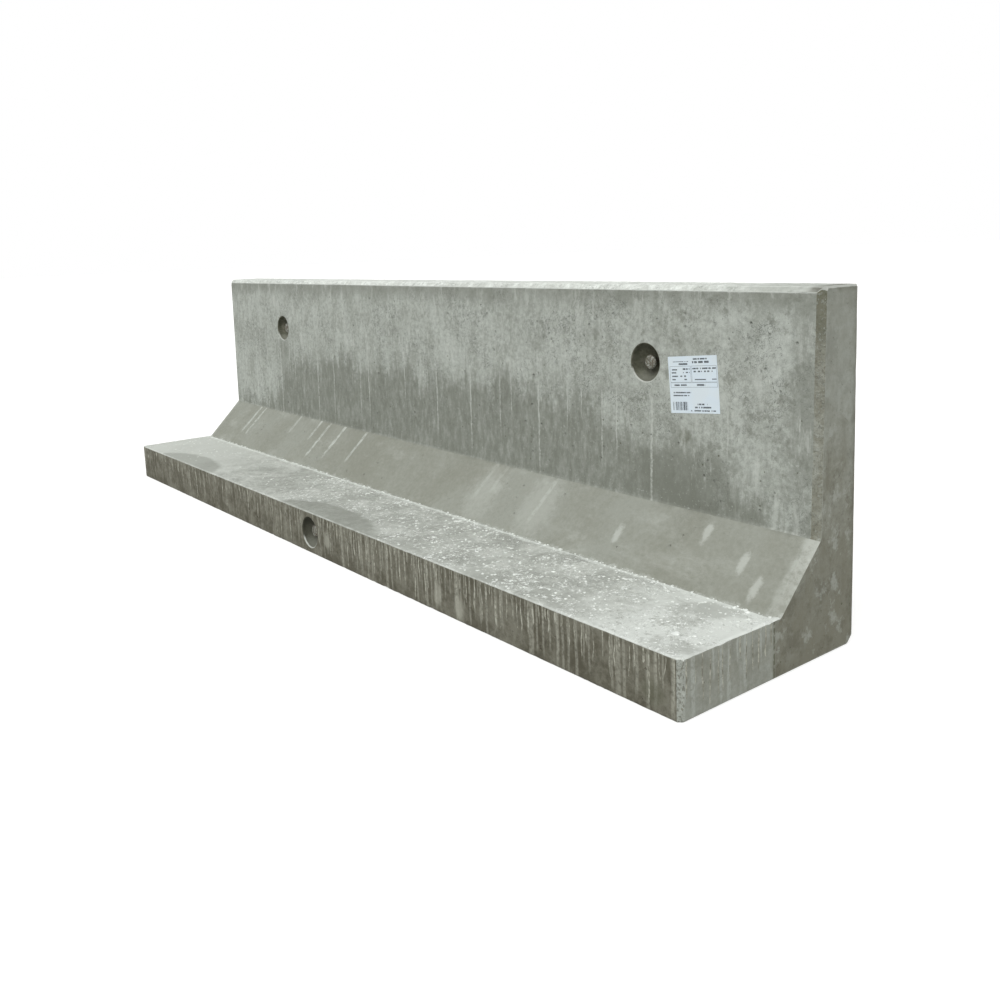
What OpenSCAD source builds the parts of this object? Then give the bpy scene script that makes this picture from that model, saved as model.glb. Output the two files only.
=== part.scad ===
/*
 * L-shaped retaining wall element of precast concrete, lying ready on its base.
 *
 * One casting: a level base slab, an upright stem along its rear edge and a sloping haunch in
 * the inner corner. Steel lifting anchors are cast into half-ball recesses, two in the stem and
 * one in the free edge of the base, and a delivery sheet is stuck to the inner face of the stem.
 *
 * Axes: X runs along the wall, Y from the free edge of the base (-Y) to the smooth outer face
 * (+Y), Z up. The origin is in the middle of the underside. All sizes are in millimetres.
 */

/* [Overall] */

// Length of the element along the wall
wall_length = 3000; // [2400:50:4000]
// Height from the underside to the top of the stem
wall_height = 800; // [650:10:1200]
// Depth from the free edge of the base to the outer face
base_depth = 570; // [450:5:900]

/* [Section] */

// Thickness of the base slab
base_thickness = 130; // [110:5:180]
// Thickness of the stem at its top edge
stem_top_thickness = 130; // [100:5:160]
// Thickness of the stem where it leaves the haunch
stem_foot_thickness = 140; // [120:5:200]
// Width of the haunch on the base
haunch_run = 140; // [60:5:180]
// Height of the haunch on the stem
haunch_rise = 140; // [60:5:180]

/* [Arrises] */

// Bevel along the inner top edge of the stem
top_bevel = 12; // [2:1:20]
// Chamfer on the inner end edges of the stem and the haunch
stem_chamfer = 15; // [5:1:20]
// Chamfer on the end edges of the outer face
outer_chamfer = 5; // [3:1:20]
// Plain arris left on the haunch just above the base
chamfer_stop = 3; // [2:1:30]
// Chamfer on the upright corners of the base at its free edge
base_chamfer = 10; // [5:1:20]
// Chamfer along the lower edge of the outer face
foot_chamfer = 10; // [5:1:20]

/* [Lifting recesses] */

// Radius of the half-ball recess left by the recess former
recess_radius = 47; // [37:1:50]
// Height of the stem recesses above the underside
recess_height = 610; // [450:5:700]
// Distance from each end of the wall to its stem recess
recess_end_distance = 500; // [200:10:1000]

/* [Lifting anchors] */

// Diameter of the anchor's round head
head_diameter = 36; // [26:1:40]
// Thickness of the full-width rim of the head
head_rim = 4; // [3:0.5:6]
// Diameter of the anchor's shank
shank_diameter = 20; // [14:1:22]
// Diameter of the anchor's foot
foot_diameter = 50; // [35:1:60]
// Depth of the top of the head below the concrete face
head_depth = 15; // [11:1:18]
// Length of a stem anchor from head to foot
stem_anchor_length = 85; // [70:1:85]
// Length of the base anchor from head to foot
base_anchor_length = 170; // [120:5:240]

/* [Delivery sheet] */

// Width of the sheet
sheet_width = 150; // [100:1:210]
// Height of the sheet
sheet_height = 135; // [100:1:148]
// Thickness of the sheet with its pocket
sheet_thickness = 0.5; // [0.3:0.1:2]
// Distance of the sheet's middle from the right end of the wall
sheet_end_distance = 344; // [200:1:400]
// Height of the sheet's middle above the underside
sheet_centre_height = 569; // [400:1:600]
// Turn of the sheet out of level, in degrees
sheet_turn = 5.3; // [-10:0.1:10]

/* [Hidden] */

// Free edge of the base and the outer face
front_y = -base_depth / 2;
outer_y = base_depth / 2;

// Inner face of the stem, at the top edge and at the top of the haunch
stem_top_y = outer_y - stem_top_thickness;
stem_foot_y = outer_y - stem_foot_thickness;

// Top of the haunch, and where its slope meets the base
haunch_top_z = base_thickness + haunch_rise;
haunch_toe_y = stem_foot_y - haunch_run;

// Lean of the inner face away from upright
lean_run = stem_top_y - stem_foot_y;
lean_rise = wall_height - haunch_top_z;
lean_angle = atan2(lean_run, lean_rise);

// Distances along the wall
stem_recess_x = wall_length / 2 - recess_end_distance;
sheet_x = wall_length / 2 - sheet_end_distance;

// The free edge's recess sits at half the thickness of the slab
base_recess_z = base_thickness / 2;

// Heights of the sloping parts of an anchor, and of the plain rim of its foot
head_bevel = 2;
head_taper = 8;
foot_taper = 10;
foot_rim = 5;

// Reach of a cutter past the face it opens
overcut = 20;

// Directions square to the inner face and to the haunch, into the concrete, as [across, up]
inner_inward = [cos(lean_angle), -sin(lean_angle)];
haunch_inward = [haunch_rise, -haunch_run] / norm([haunch_rise, haunch_run]);

// Which piece to build

$fn = 96;

concrete_grey = [0.66, 0.66, 0.63];
steel_grey = [0.42, 0.40, 0.37];
sheet_white = [0.88, 0.90, 0.92];

// Y of the stem's inner face at a height
function inner_face_y(z) = stem_foot_y + lean_run * (z - haunch_top_z) / lean_rise;

// The wall's section, drawn with its first axis across the wall and its second axis up
module wall_section() {
    polygon([
        [front_y, 0],
        [outer_y - foot_chamfer, 0],
        [outer_y, foot_chamfer],
        [outer_y, wall_height],
        [stem_top_y + top_bevel, wall_height],
        [inner_face_y(wall_height - top_bevel), wall_height - top_bevel],
        [stem_foot_y, haunch_top_z],
        [haunch_toe_y, base_thickness],
        [front_y, base_thickness]
    ]);
}

// Stands the section up and runs it along the whole wall
module plain_casting() {
    rotate([90, 0, 90])
        translate([0, 0, -wall_length / 2])
            linear_extrude(height = wall_length)
                wall_section();
}

// Three-cornered strip that takes the arris off an upright edge standing on the origin
module arris_cutter(chamfer, height) {
    linear_extrude(height = height)
        polygon([
            [-chamfer, 0],
            [0, chamfer],
            [overcut, chamfer],
            [overcut, -overcut],
            [-chamfer, -overcut]
        ]);
}

// Direction that lies a unit inside two faces at once, so that strips along them meet in a mitre
function mitre(a, b) = (a + b) / (1 + a * b);

// Corners of the arris strip's section through a point on the inner profile. Its long side is the
// chamfer, carried on past both faces that meet at the arris.
function strip_section(point, inward) = [
    for (corner = [
        [-stem_chamfer - overcut, -overcut],
        [overcut, stem_chamfer + overcut],
        [overcut, -overcut]
    ])
        [corner[0], point[0] + corner[1] * inward[0], point[1] + corner[1] * inward[1]]
];

// Strip that takes the arris off one end of the inner face and the haunch, with a mitre between
module inner_arris_strip() {
    above_top = [inner_face_y(wall_height + overcut), wall_height + overcut];
    haunch_top = [stem_foot_y, haunch_top_z];
    above_toe = [
        haunch_toe_y + chamfer_stop * haunch_run / haunch_rise,
        base_thickness + chamfer_stop
    ];
    level = [1 / haunch_inward[0], 0];
    polyhedron(
        points = concat(
            strip_section(above_top, inner_inward),
            strip_section(haunch_top, mitre(inner_inward, haunch_inward)),
            strip_section(above_toe, level)
        ),
        faces = concat(
            [[0, 1, 2], [8, 7, 6]],
            [for (first = [0, 3], i = [0:2])
                [first + i, first + i + 3, first + (i + 1) % 3 + 3, first + (i + 1) % 3]]
        )
    );
}

// Arris cutters of the right-hand end: free edge of the base, and both faces of the stem
module right_end_arrises() {
    translate([wall_length / 2, front_y, -overcut])
        arris_cutter(base_chamfer, base_thickness + 2 * overcut);

    translate([wall_length / 2, outer_y, -overcut])
        mirror([0, 1, 0])
            arris_cutter(outer_chamfer, wall_height + 2 * overcut);

    translate([wall_length / 2, 0, 0])
        inner_arris_strip();
}

// Places its children on the stem's inner face, looking out along -Y and square to the face
module on_inner_face(x, z) {
    translate([x, inner_face_y(z), z])
        rotate([-lean_angle, 0, 0])
            children();
}

// Places its children on the base's free edge, halfway up the slab
module on_free_edge(x) {
    translate([x, front_y, base_recess_z])
        children();
}

// Outline of an anchor: radius against distance along its axis, from the head to the foot
module anchor_outline(length) {
    head_r = head_diameter / 2;
    shank_r = shank_diameter / 2;
    foot_r = foot_diameter / 2;
    polygon([
        [0, 0],
        [head_r - head_bevel, 0],
        [head_r, head_bevel],
        [head_r, head_bevel + head_rim],
        [shank_r, head_bevel + head_rim + head_taper],
        [shank_r, length - foot_rim - foot_taper],
        [foot_r, length - foot_rim],
        [foot_r, length],
        [0, length]
    ]);
}

// Lifting anchor that runs along +Y from the sunk top of its head
module lifting_anchor(length) {
    translate([0, head_depth, 0])
        rotate([-90, 0, 0])
            rotate_extrude()
                anchor_outline(length);
}

// Half-ball recess centred on the face it opens
module recess_ball() {
    rotate([90, 45, 0])
        sphere(r = recess_radius);
}

module stem_anchor_at(x) {
    on_inner_face(x, recess_height)
        lifting_anchor(stem_anchor_length);
}

module base_anchor_solid() {
    on_free_edge(0)
        lifting_anchor(base_anchor_length);
}

// Concrete casting: base slab, haunch and stem in one piece
module wall_body() {
    color(concrete_grey)
        difference() {
            plain_casting();

            right_end_arrises();
            mirror([1, 0, 0])
                right_end_arrises();

            on_inner_face(stem_recess_x, recess_height)
                recess_ball();
            on_inner_face(-stem_recess_x, recess_height)
                recess_ball();
            on_free_edge(0)
                recess_ball();

            stem_anchor_at(stem_recess_x);
            stem_anchor_at(-stem_recess_x);
            base_anchor_solid();
        }
}

// Anchor cast into the stem near the left end
module stem_anchor_left() {
    color(steel_grey)
        stem_anchor_at(-stem_recess_x);
}

// Anchor cast into the stem near the right end
module stem_anchor_right() {
    color(steel_grey)
        stem_anchor_at(stem_recess_x);
}

// Anchor cast into the free edge of the base
module base_anchor() {
    color(steel_grey)
        base_anchor_solid();
}

// Delivery sheet lying flat on the stem's inner face, slightly out of level
module delivery_sheet() {
    color(sheet_white)
        on_inner_face(sheet_x, sheet_centre_height)
            rotate([0, -sheet_turn, 0])
                translate([-sheet_width / 2, -sheet_thickness, -sheet_height / 2])
                    cube([sheet_width, sheet_thickness, sheet_height]);
}

wall_body();
stem_anchor_left();
stem_anchor_right();
base_anchor();
delivery_sheet();
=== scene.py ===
import math
import random

import bmesh
import bpy
import numpy as np
from mathutils import Matrix, Vector, noise
from mathutils.geometry import delaunay_2d_cdt


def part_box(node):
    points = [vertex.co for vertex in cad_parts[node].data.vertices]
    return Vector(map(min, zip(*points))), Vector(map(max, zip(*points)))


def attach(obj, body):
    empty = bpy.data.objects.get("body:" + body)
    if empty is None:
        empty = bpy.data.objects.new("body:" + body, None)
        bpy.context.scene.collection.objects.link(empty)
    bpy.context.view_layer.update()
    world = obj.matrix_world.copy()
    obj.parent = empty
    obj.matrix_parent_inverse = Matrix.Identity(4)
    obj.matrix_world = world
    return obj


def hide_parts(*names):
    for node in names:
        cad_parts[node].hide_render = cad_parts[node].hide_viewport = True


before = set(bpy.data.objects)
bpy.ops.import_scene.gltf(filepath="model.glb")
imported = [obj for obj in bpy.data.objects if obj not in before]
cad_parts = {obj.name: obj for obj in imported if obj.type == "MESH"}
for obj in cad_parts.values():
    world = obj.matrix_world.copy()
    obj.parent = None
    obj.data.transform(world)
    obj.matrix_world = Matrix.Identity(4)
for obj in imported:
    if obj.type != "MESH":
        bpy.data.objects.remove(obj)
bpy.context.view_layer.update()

bl_info = {
    "name": "Retaining wall element", "version": (1, 0, 0), "blender": (4, 5, 0),
    "location": "3D View > Sidebar > Wall",
    "description": "Precast concrete retaining wall element with its anchors and delivery sheet",
    "category": "Add Mesh",
}

LOW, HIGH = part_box("wall_body")


# ---------------------------------------------------------------- sizes and colours

def metres(name, default, description):
    return bpy.props.FloatProperty(
        name=name, description=description, default=default, min=0.0, precision=4,
        subtype="DISTANCE", unit="LENGTH",
    )


def colour(name, default, description):
    return bpy.props.FloatVectorProperty(
        name=name, description=description, default=default, min=0.0, max=1.0,
        size=3, subtype="COLOR",
    )


class WallSizes(bpy.types.PropertyGroup):
    """Sizes of the casting and of what is fixed to it"""
    base_thickness: metres("Base thickness", 0.130, "Thickness of the base slab")
    stem_top: metres("Stem at the top", 0.130, "Thickness of the stem at its top edge")
    stem_foot: metres("Stem at the haunch", 0.140, "Thickness of the stem above the haunch")
    haunch_run: metres("Haunch width", 0.140, "Width of the haunch on the base")
    haunch_rise: metres("Haunch height", 0.140, "Height of the haunch on the stem")
    top_bevel: metres("Top bevel", 0.012, "Bevel along the inner top edge of the stem")
    stem_chamfer: metres("Stem chamfer", 0.015, "Chamfer on the inner end edges of the stem")
    outer_chamfer: metres("Outer chamfer", 0.005, "Chamfer on the end edges of the outer face")
    base_chamfer: metres("Base chamfer", 0.010, "Chamfer on the upright corners of the base")
    foot_chamfer: metres("Foot chamfer", 0.010, "Chamfer along the foot of the outer face")
    recess_radius: metres("Recess radius", 0.047, "Radius of the half-ball lifting recesses")
    recess_height: metres("Recess height", 0.610, "Height of the stem recesses")
    recess_inset: metres("Recess from end", 0.500, "Distance from each end to its stem recess")
    head_depth: metres("Head depth", 0.015, "Depth of an anchor head below the concrete face")
    head_diameter: metres("Head diameter", 0.036, "Diameter of an anchor's round head")
    shank_diameter: metres("Shank diameter", 0.020, "Diameter of an anchor's shank")
    foot_diameter: metres("Foot diameter", 0.050, "Diameter of an anchor's foot")
    stem_anchor: metres("Stem anchor", 0.085, "Length of a stem anchor")
    base_anchor: metres("Base anchor", 0.170, "Length of the base anchor")
    sheet_width: metres("Sheet width", 0.150, "Width of the delivery sheet")
    sheet_height: metres("Sheet height", 0.135, "Height of the delivery sheet")
    sheet_thickness: metres("Sheet thickness", 0.0005, "Thickness of the sheet in its pocket")
    sheet_inset: metres("Sheet from end", 0.344, "Distance from the right end to the sheet")
    sheet_level: metres("Sheet level", 0.569, "Height of the sheet's middle")
    sheet_turn: bpy.props.FloatProperty(
        name="Sheet turn", description="How far the sheet is stuck out of level",
        default=math.radians(5.3), subtype="ANGLE", unit="ROTATION",
    )
    run_spacing: metres("Run spacing", 0.0195, "Distance between cement runs on the edges")
    crumb_size: metres("Crumb size", 0.009, "Size of the largest crumb on the base")


class WallColours(bpy.types.PropertyGroup):
    """Colours of the concrete, its stains and the light and shade painted into it, the steel and the
    sheet
    """
    stem_light: colour("Stem, light", (0.388, 0.412, 0.376), "Clean cement skin of the stem")
    stem_dark: colour("Stem, dark", (0.290, 0.308, 0.274), "Denser patches of the stem's skin")
    damp: colour("Damp concrete", (0.160, 0.169, 0.141), "Concrete that has stayed damp")
    haunch_light: colour("Haunch, light", (0.262, 0.274, 0.238), "Smooth skin of the haunch")
    haunch_dark: colour("Haunch, dark", (0.218, 0.225, 0.188), "Darker clouds on the haunch")
    # The base top's two tones are partly its floated finish and partly painted light: they are set
    # paler than the stem for the face turned up to the light.
    top_pale_with_painted_light: colour("Base top, light", (0.500, 0.522, 0.482), "Dry, floated top of the base")
    top_dark_with_painted_light: colour("Base top, dark", (0.315, 0.328, 0.296), "Closed, darker float marks")
    # The free edge's two tones are partly its damp form skin and partly painted shade, set darker
    # than the stem.
    edge_pale_with_painted_shade: colour("Free edge, light", (0.168, 0.165, 0.130), "Lighter form skin of the edge")
    edge_dark_with_painted_shade: colour("Free edge, dark", (0.082, 0.077, 0.054), "Damp, oily form skin")
    # The ends' two tones are partly their form skin and partly painted shade: they are set darker
    # than the stem for the side turned from the light.
    end_pale_with_painted_shade: colour("Ends, light", (0.290, 0.306, 0.270), "Lighter form skin of the ends")
    end_dark_with_painted_shade: colour("Ends, dark", (0.160, 0.158, 0.121), "Darker form skin of the ends")
    paste: colour("Cement paste", (0.375, 0.378, 0.318), "Dried cement runs")
    lime: colour("Lime bloom", (0.640, 0.670, 0.630), "White crust, crumbs and worn arrises")
    moss: colour("Moss", (0.085, 0.088, 0.056), "Green-black growth and open pores")
    steel: colour("Anchor steel", (0.130, 0.126, 0.108), "Bare forged steel")
    crumb: colour("Crumbs", (0.800, 0.830, 0.795), "Fresh white cement crumbs on the base")
    # Painted shade that darkens the inside of the recesses.
    painted_recess_shade: colour("Recess shade", (0.045, 0.046, 0.034), "Damp, blackened skin of the recesses")
    rust: colour("Rust", (0.105, 0.078, 0.052), "Light rust on the anchors")
    paper: colour("Paper", (0.600, 0.685, 0.745), "Paper of the delivery sheet")
    ink: colour("Ink", (0.030, 0.038, 0.045), "Print on the delivery sheet")


def sizes():
    return bpy.context.scene.wall_sizes


def tint(name):
    """Colour of that name with full opacity."""
    return (*getattr(bpy.context.scene.wall_colours, name), 1.0)


# ---------------------------------------------------------------- wiring helper

class Wiring:
    """Short calls that place and join the nodes of one tree."""

    def __init__(self, tree):
        self.tree = tree

    def node(self, kind, **settings):
        placed = self.tree.nodes.new(kind)
        for name, value in settings.items():
            setattr(placed, name, value)
        return placed

    def fed(self, kind, wants, **settings):
        """Places a node and feeds its sockets, named or numbered."""
        placed = self.node(kind, **settings)
        for key, value in wants.items():
            self.feed(placed.inputs[key], value)
        return placed

    def feed(self, socket, value):
        if isinstance(value, bpy.types.NodeSocket):
            self.tree.links.new(value, socket)
        else:
            socket.default_value = value

    def math(self, kind, first, second=0.0, clamp=False):
        placed = self.node("ShaderNodeMath", operation=kind, use_clamp=clamp)
        self.feed(placed.inputs[0], first)
        self.feed(placed.inputs[1], second)
        return placed.outputs[0]

    def plus(self, first, second, clamp=False):
        return self.math("ADD", first, second, clamp)

    def minus(self, first, second, clamp=False):
        return self.math("SUBTRACT", first, second, clamp)

    def times(self, first, second, clamp=False):
        return self.math("MULTIPLY", first, second, clamp)

    def apart(self, first, second):
        return self.math("ABSOLUTE", self.minus(first, second))

    def most(self, values):
        """The largest of several values."""
        top, *others = values
        for value in others:
            top = self.math("MAXIMUM", top, value)
        return top

    def vector(self, kind, first, second):
        placed = self.node("ShaderNodeVectorMath", operation=kind)
        self.feed(placed.inputs[0], first)
        self.feed(placed.inputs[1], second)
        return placed.outputs[0]

    def combine(self, x, y, z):
        placed = self.node("ShaderNodeCombineXYZ")
        for socket, value in zip(placed.inputs, (x, y, z)):
            self.feed(socket, value)
        return placed.outputs[0]

    def parts(self, where):
        placed = self.node("ShaderNodeSeparateXYZ")
        self.feed(placed.inputs[0], where)
        return placed.outputs[0], placed.outputs[1], placed.outputs[2]

    def spread(self, value, low, high, out_low=0.0, out_high=1.0):
        """Smooth step of value from low to high."""
        placed = self.node("ShaderNodeMapRange", interpolation_type="SMOOTHSTEP")
        for socket, number in zip(placed.inputs, (value, low, high, out_low, out_high)):
            self.feed(socket, number)
        return placed.outputs[0]

    def mix(self, share, under, over, kind="MIX"):
        placed = self.node("ShaderNodeMix", data_type="RGBA", blend_type=kind)
        self.feed(placed.inputs[0], share)
        self.feed(placed.inputs[6], under)
        self.feed(placed.inputs[7], over)
        return placed.outputs[2]

    def noise(self, where, scale, detail=3.0, rough=0.55, warp=0.0):
        placed = self.node("ShaderNodeTexNoise")
        self.feed(placed.inputs["Vector"], where)
        self.feed(placed.inputs["Scale"], scale)
        self.feed(placed.inputs["Detail"], detail)
        self.feed(placed.inputs["Roughness"], rough)
        self.feed(placed.inputs["Distortion"], warp)
        return placed.outputs["Fac"]

    def group(self, tree, **values):
        placed = self.node("ShaderNodeGroup", node_tree=tree)
        for name, value in values.items():
            self.feed(placed.inputs[name.replace("_", " ")], value)
        return placed


FLOAT = "NodeSocketFloat"
VECTOR = "NodeSocketVector"
COLOUR = "NodeSocketColor"
WHOLE = "NodeSocketInt"
MATERIAL = "NodeSocketMaterial"
GEOMETRY = "NodeSocketGeometry"


def empty_tree(name, kind, inputs, outputs):
    """Empty node group with its wiring, inlet and outlet; a number stands for its default."""
    tree = bpy.data.node_groups.new(name, kind)
    for side, sockets in (("INPUT", inputs), ("OUTPUT", outputs)):
        for label, given in sockets.items():
            plain = isinstance(given, float)
            socket = tree.interface.new_socket(
                label, in_out=side, socket_type=FLOAT if plain else given,
            )
            if plain:
                socket.default_value = given
    w = Wiring(tree)
    return tree, w, w.node("NodeGroupInput").outputs, w.node("NodeGroupOutput").inputs


def shader_group(name, inputs, outputs):
    """Empty shader group with named sockets."""
    return empty_tree(name, "ShaderNodeTree", inputs, outputs)


def geometry_tree(name, inputs):
    """Empty geometry tree that takes and gives a shape."""
    shape = {"Geometry": GEOMETRY}
    return empty_tree(name, "GeometryNodeTree", {**shape, **inputs}, shape)


# ---------------------------------------------------------------- shared effects

def cement_skin_group():
    """Cloudy cement skin: broad patches, upright form streaks, wandering veins and grain."""
    tree, w, given, made = shader_group(
        "Cement skin",
        {"Position": VECTOR, "Light": COLOUR, "Dark": COLOUR,
         "Patch size": 0.15, "Streak share": 0.4, "Contrast": 1.0,
         "Grain": 0.15, "Veins": 0.4},
        {"Colour": COLOUR, "Height": FLOAT},
    )
    where = given["Position"]
    broad = w.noise(where, w.math("DIVIDE", 1.0, given["Patch size"]), 7.0, 0.66, 0.5)
    streak = w.noise(w.vector("MULTIPLY", where, (40.0, 40.0, 4.0)), 1.0, 4.0, 0.6)
    speck = w.noise(where, 80.0, 5.0, 0.75)
    grain = w.noise(where, 380.0, 2.0, 0.6)
    left = w.times(broad, w.minus(1.0, given["Streak share"]))
    patch = w.plus(left, w.times(streak, given["Streak share"]))
    patch = w.plus(w.times(patch, 0.75), w.times(speck, 0.25))
    centred = w.times(w.minus(patch, 0.5), given["Contrast"])
    share = w.spread(centred, -0.12, 0.12)
    body = w.mix(share, given["Dark"], given["Light"])
    lift = w.plus(w.times(w.minus(speck, 0.5), 2.2), w.minus(grain, 0.5))
    lift = w.plus(1.0, w.times(lift, given["Grain"]))
    worm = w.apart(w.noise(where, 70.0, 3.0, 0.6, 0.8), 0.5)
    thin = w.spread(worm, 0.004, 0.020, 1.0, 0.0)
    zone = w.spread(w.noise(where, 9.0, 4.0, 0.7), 0.46, 0.60)
    vein = w.times(w.times(thin, zone), given["Veins"])
    lift = w.times(lift, w.minus(1.0, vein))
    tinted = w.mix(1.0, body, w.combine(lift, lift, lift), "MULTIPLY")
    height = w.plus(w.times(speck, 0.6), w.times(grain, 0.4))
    height = w.minus(height, vein)
    w.feed(made["Colour"], tinted)
    w.feed(made["Height"], height)
    return tree


def bug_hole_group():
    """Small round air holes of mixed size, scattered over a form face."""
    tree, w, given, made = shader_group(
        "Air holes", {"Position": VECTOR, "Spacing": 0.02, "Share": 0.3, "Size": 0.18},
        {"Hole": FLOAT},
    )
    cells = w.fed(
        "ShaderNodeTexVoronoi",
        {"Vector": given["Position"], "Scale": w.math("DIVIDE", 1.0, given["Spacing"])},
    )
    chance, girth, _ = w.parts(cells.outputs["Color"])
    reach = w.times(given["Size"], w.plus(girth, 0.25))
    inside = w.spread(cells.outputs["Distance"], w.times(reach, 0.6), reach, 1.0, 0.0)
    kept = w.math("LESS_THAN", chance, given["Share"])
    w.feed(made["Hole"], w.times(inside, kept))
    return tree


def cement_run_group():
    """Thin cement runs that start at an upper edge and trail down a face."""
    tree, w, given, made = shader_group(
        "Cement runs",
        {"Position": VECTOR, "Across": 0.0, "Down": 0.0,
         "Spacing": 0.016, "Width": 0.2, "Reach": 0.12,
         "Wobble": 0.006, "Share": 0.7},
        {"Run": FLOAT},
    )
    sway = w.minus(w.noise(given["Position"], 24.0, 2.0), 0.5)
    moved = w.plus(given["Across"], w.times(sway, given["Wobble"]))
    lane = w.math("DIVIDE", moved, given["Spacing"])
    cell = w.math("FLOOR", lane)
    within = w.minus(lane, cell)
    dice = w.fed("ShaderNodeTexWhiteNoise", {"W": cell}, noise_dimensions="1D")
    place, length, chance = w.parts(dice.outputs["Color"])
    middle = w.plus(0.3, w.times(place, 0.4))
    off = w.apart(within, middle)
    girth = w.times(given["Width"], w.plus(0.5, length))
    line = w.spread(off, w.times(girth, 0.35), girth, 1.0, 0.0)
    stop = w.times(given["Reach"], w.plus(0.25, length))
    trail = w.spread(given["Down"], w.times(stop, 0.7), stop, 1.0, 0.0)
    kept = w.math("LESS_THAN", chance, given["Share"])
    rough = w.spread(w.noise(given["Position"], 130.0, 3.0), 0.3, 0.62, 0.25, 1.0)
    run = w.times(w.times(line, trail), w.times(kept, rough))
    w.feed(made["Run"], run)
    return tree


def tide_group():
    """Ragged upright-streaked border between dry concrete above and damp concrete below."""
    tree, w, given, made = shader_group(
        "Damp tide", {"Position": VECTOR, "Height": 0.0, "Level": 0.5, "Ragged": 0.2, "Soft": 0.05},
        {"Damp": FLOAT},
    )
    drawn = w.noise(w.vector("MULTIPLY", given["Position"], (26.0, 26.0, 4.5)), 1.0, 5.0, 0.65)
    broad = w.noise(given["Position"], 4.0, 3.0)
    torn = w.noise(given["Position"], 55.0, 4.0, 0.7)
    rise = w.plus(w.times(w.minus(drawn, 0.5), 1.1), w.times(w.minus(broad, 0.5), 0.7))
    rise = w.plus(rise, w.times(w.minus(torn, 0.5), 0.5))
    line = w.plus(given["Level"], w.times(rise, given["Ragged"]))
    depth = w.minus(line, given["Height"])
    low = w.times(given["Soft"], -1.0)
    w.feed(made["Damp"], w.spread(depth, low, given["Soft"]))
    return tree


def arris_wear_group():
    """Broken pale wear that follows the arrises, from the mesh's arris attribute."""
    tree, w, given, made = shader_group(
        "Arris wear", {"Position": VECTOR, "Arris": 0.0, "Amount": 0.5}, {"Wear": FLOAT},
    )
    broken = w.noise(given["Position"], 60.0, 4.0, 0.7)
    wander = w.noise(given["Position"], 7.0, 2.0)
    pull = w.plus(w.times(broken, 0.6), w.times(wander, 0.4))
    edge = w.times(given["Arris"], w.plus(given["Amount"], 0.5))
    w.feed(made["Wear"], w.spread(w.plus(edge, pull), 0.95, 1.3))
    return tree


def soft_patch_group():
    """Soft patch with a wandering outline, measured across and up a face."""
    tree, w, given, made = shader_group(
        "Soft patch",
        {"Position": VECTOR, "Across": 0.0, "Up": 0.0,
         "Middle across": 0.0, "Middle up": 0.0, "Half width": 0.1,
         "Half height": 0.1, "Ragged": 0.3, "Scale": 14.0,
         "Full": 0.45, "Gone": 1.25},
        {"Mask": FLOAT},
    )
    across = w.math("DIVIDE", w.minus(given["Across"], given["Middle across"]), given["Half width"])
    up = w.math("DIVIDE", w.minus(given["Up"], given["Middle up"]), given["Half height"])
    far = w.math("SQRT", w.plus(w.times(across, across), w.times(up, up)))
    torn = w.minus(w.noise(given["Position"], given["Scale"], 6.0, 0.75), 0.5)
    wander = w.times(torn, w.times(given["Ragged"], 3.0))
    reach = w.plus(far, wander)
    w.feed(made["Mask"], w.spread(reach, given["Full"], given["Gone"], 1.0, 0.0))
    return tree


class Effects:
    """The shared shader groups, each built once."""

    def __init__(self):
        self.skin = cement_skin_group()
        self.holes = bug_hole_group()
        self.runs = cement_run_group()
        self.tide = tide_group()
        self.wear = arris_wear_group()
        self.patch = soft_patch_group()


_effects = []


def effects():
    if not _effects:
        _effects.append(Effects())
    return _effects[0]


# ---------------------------------------------------------------- materials

# Drips down the haunch: place along the wall, length and strength
DRIPS = (
    (-1.238, 0.135, 0.8), (-1.192, 0.140, 0.7), (-0.870, 0.080, 0.5), (-0.700, 0.085, 0.7),
    (-0.628, 0.155, 0.9), (-0.517, 0.140, 0.9), (-0.360, 0.130, 0.9), (0.400, 0.130, 0.2),
    (0.450, 0.100, 0.15), (0.672, 0.150, 0.3),
)


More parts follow.
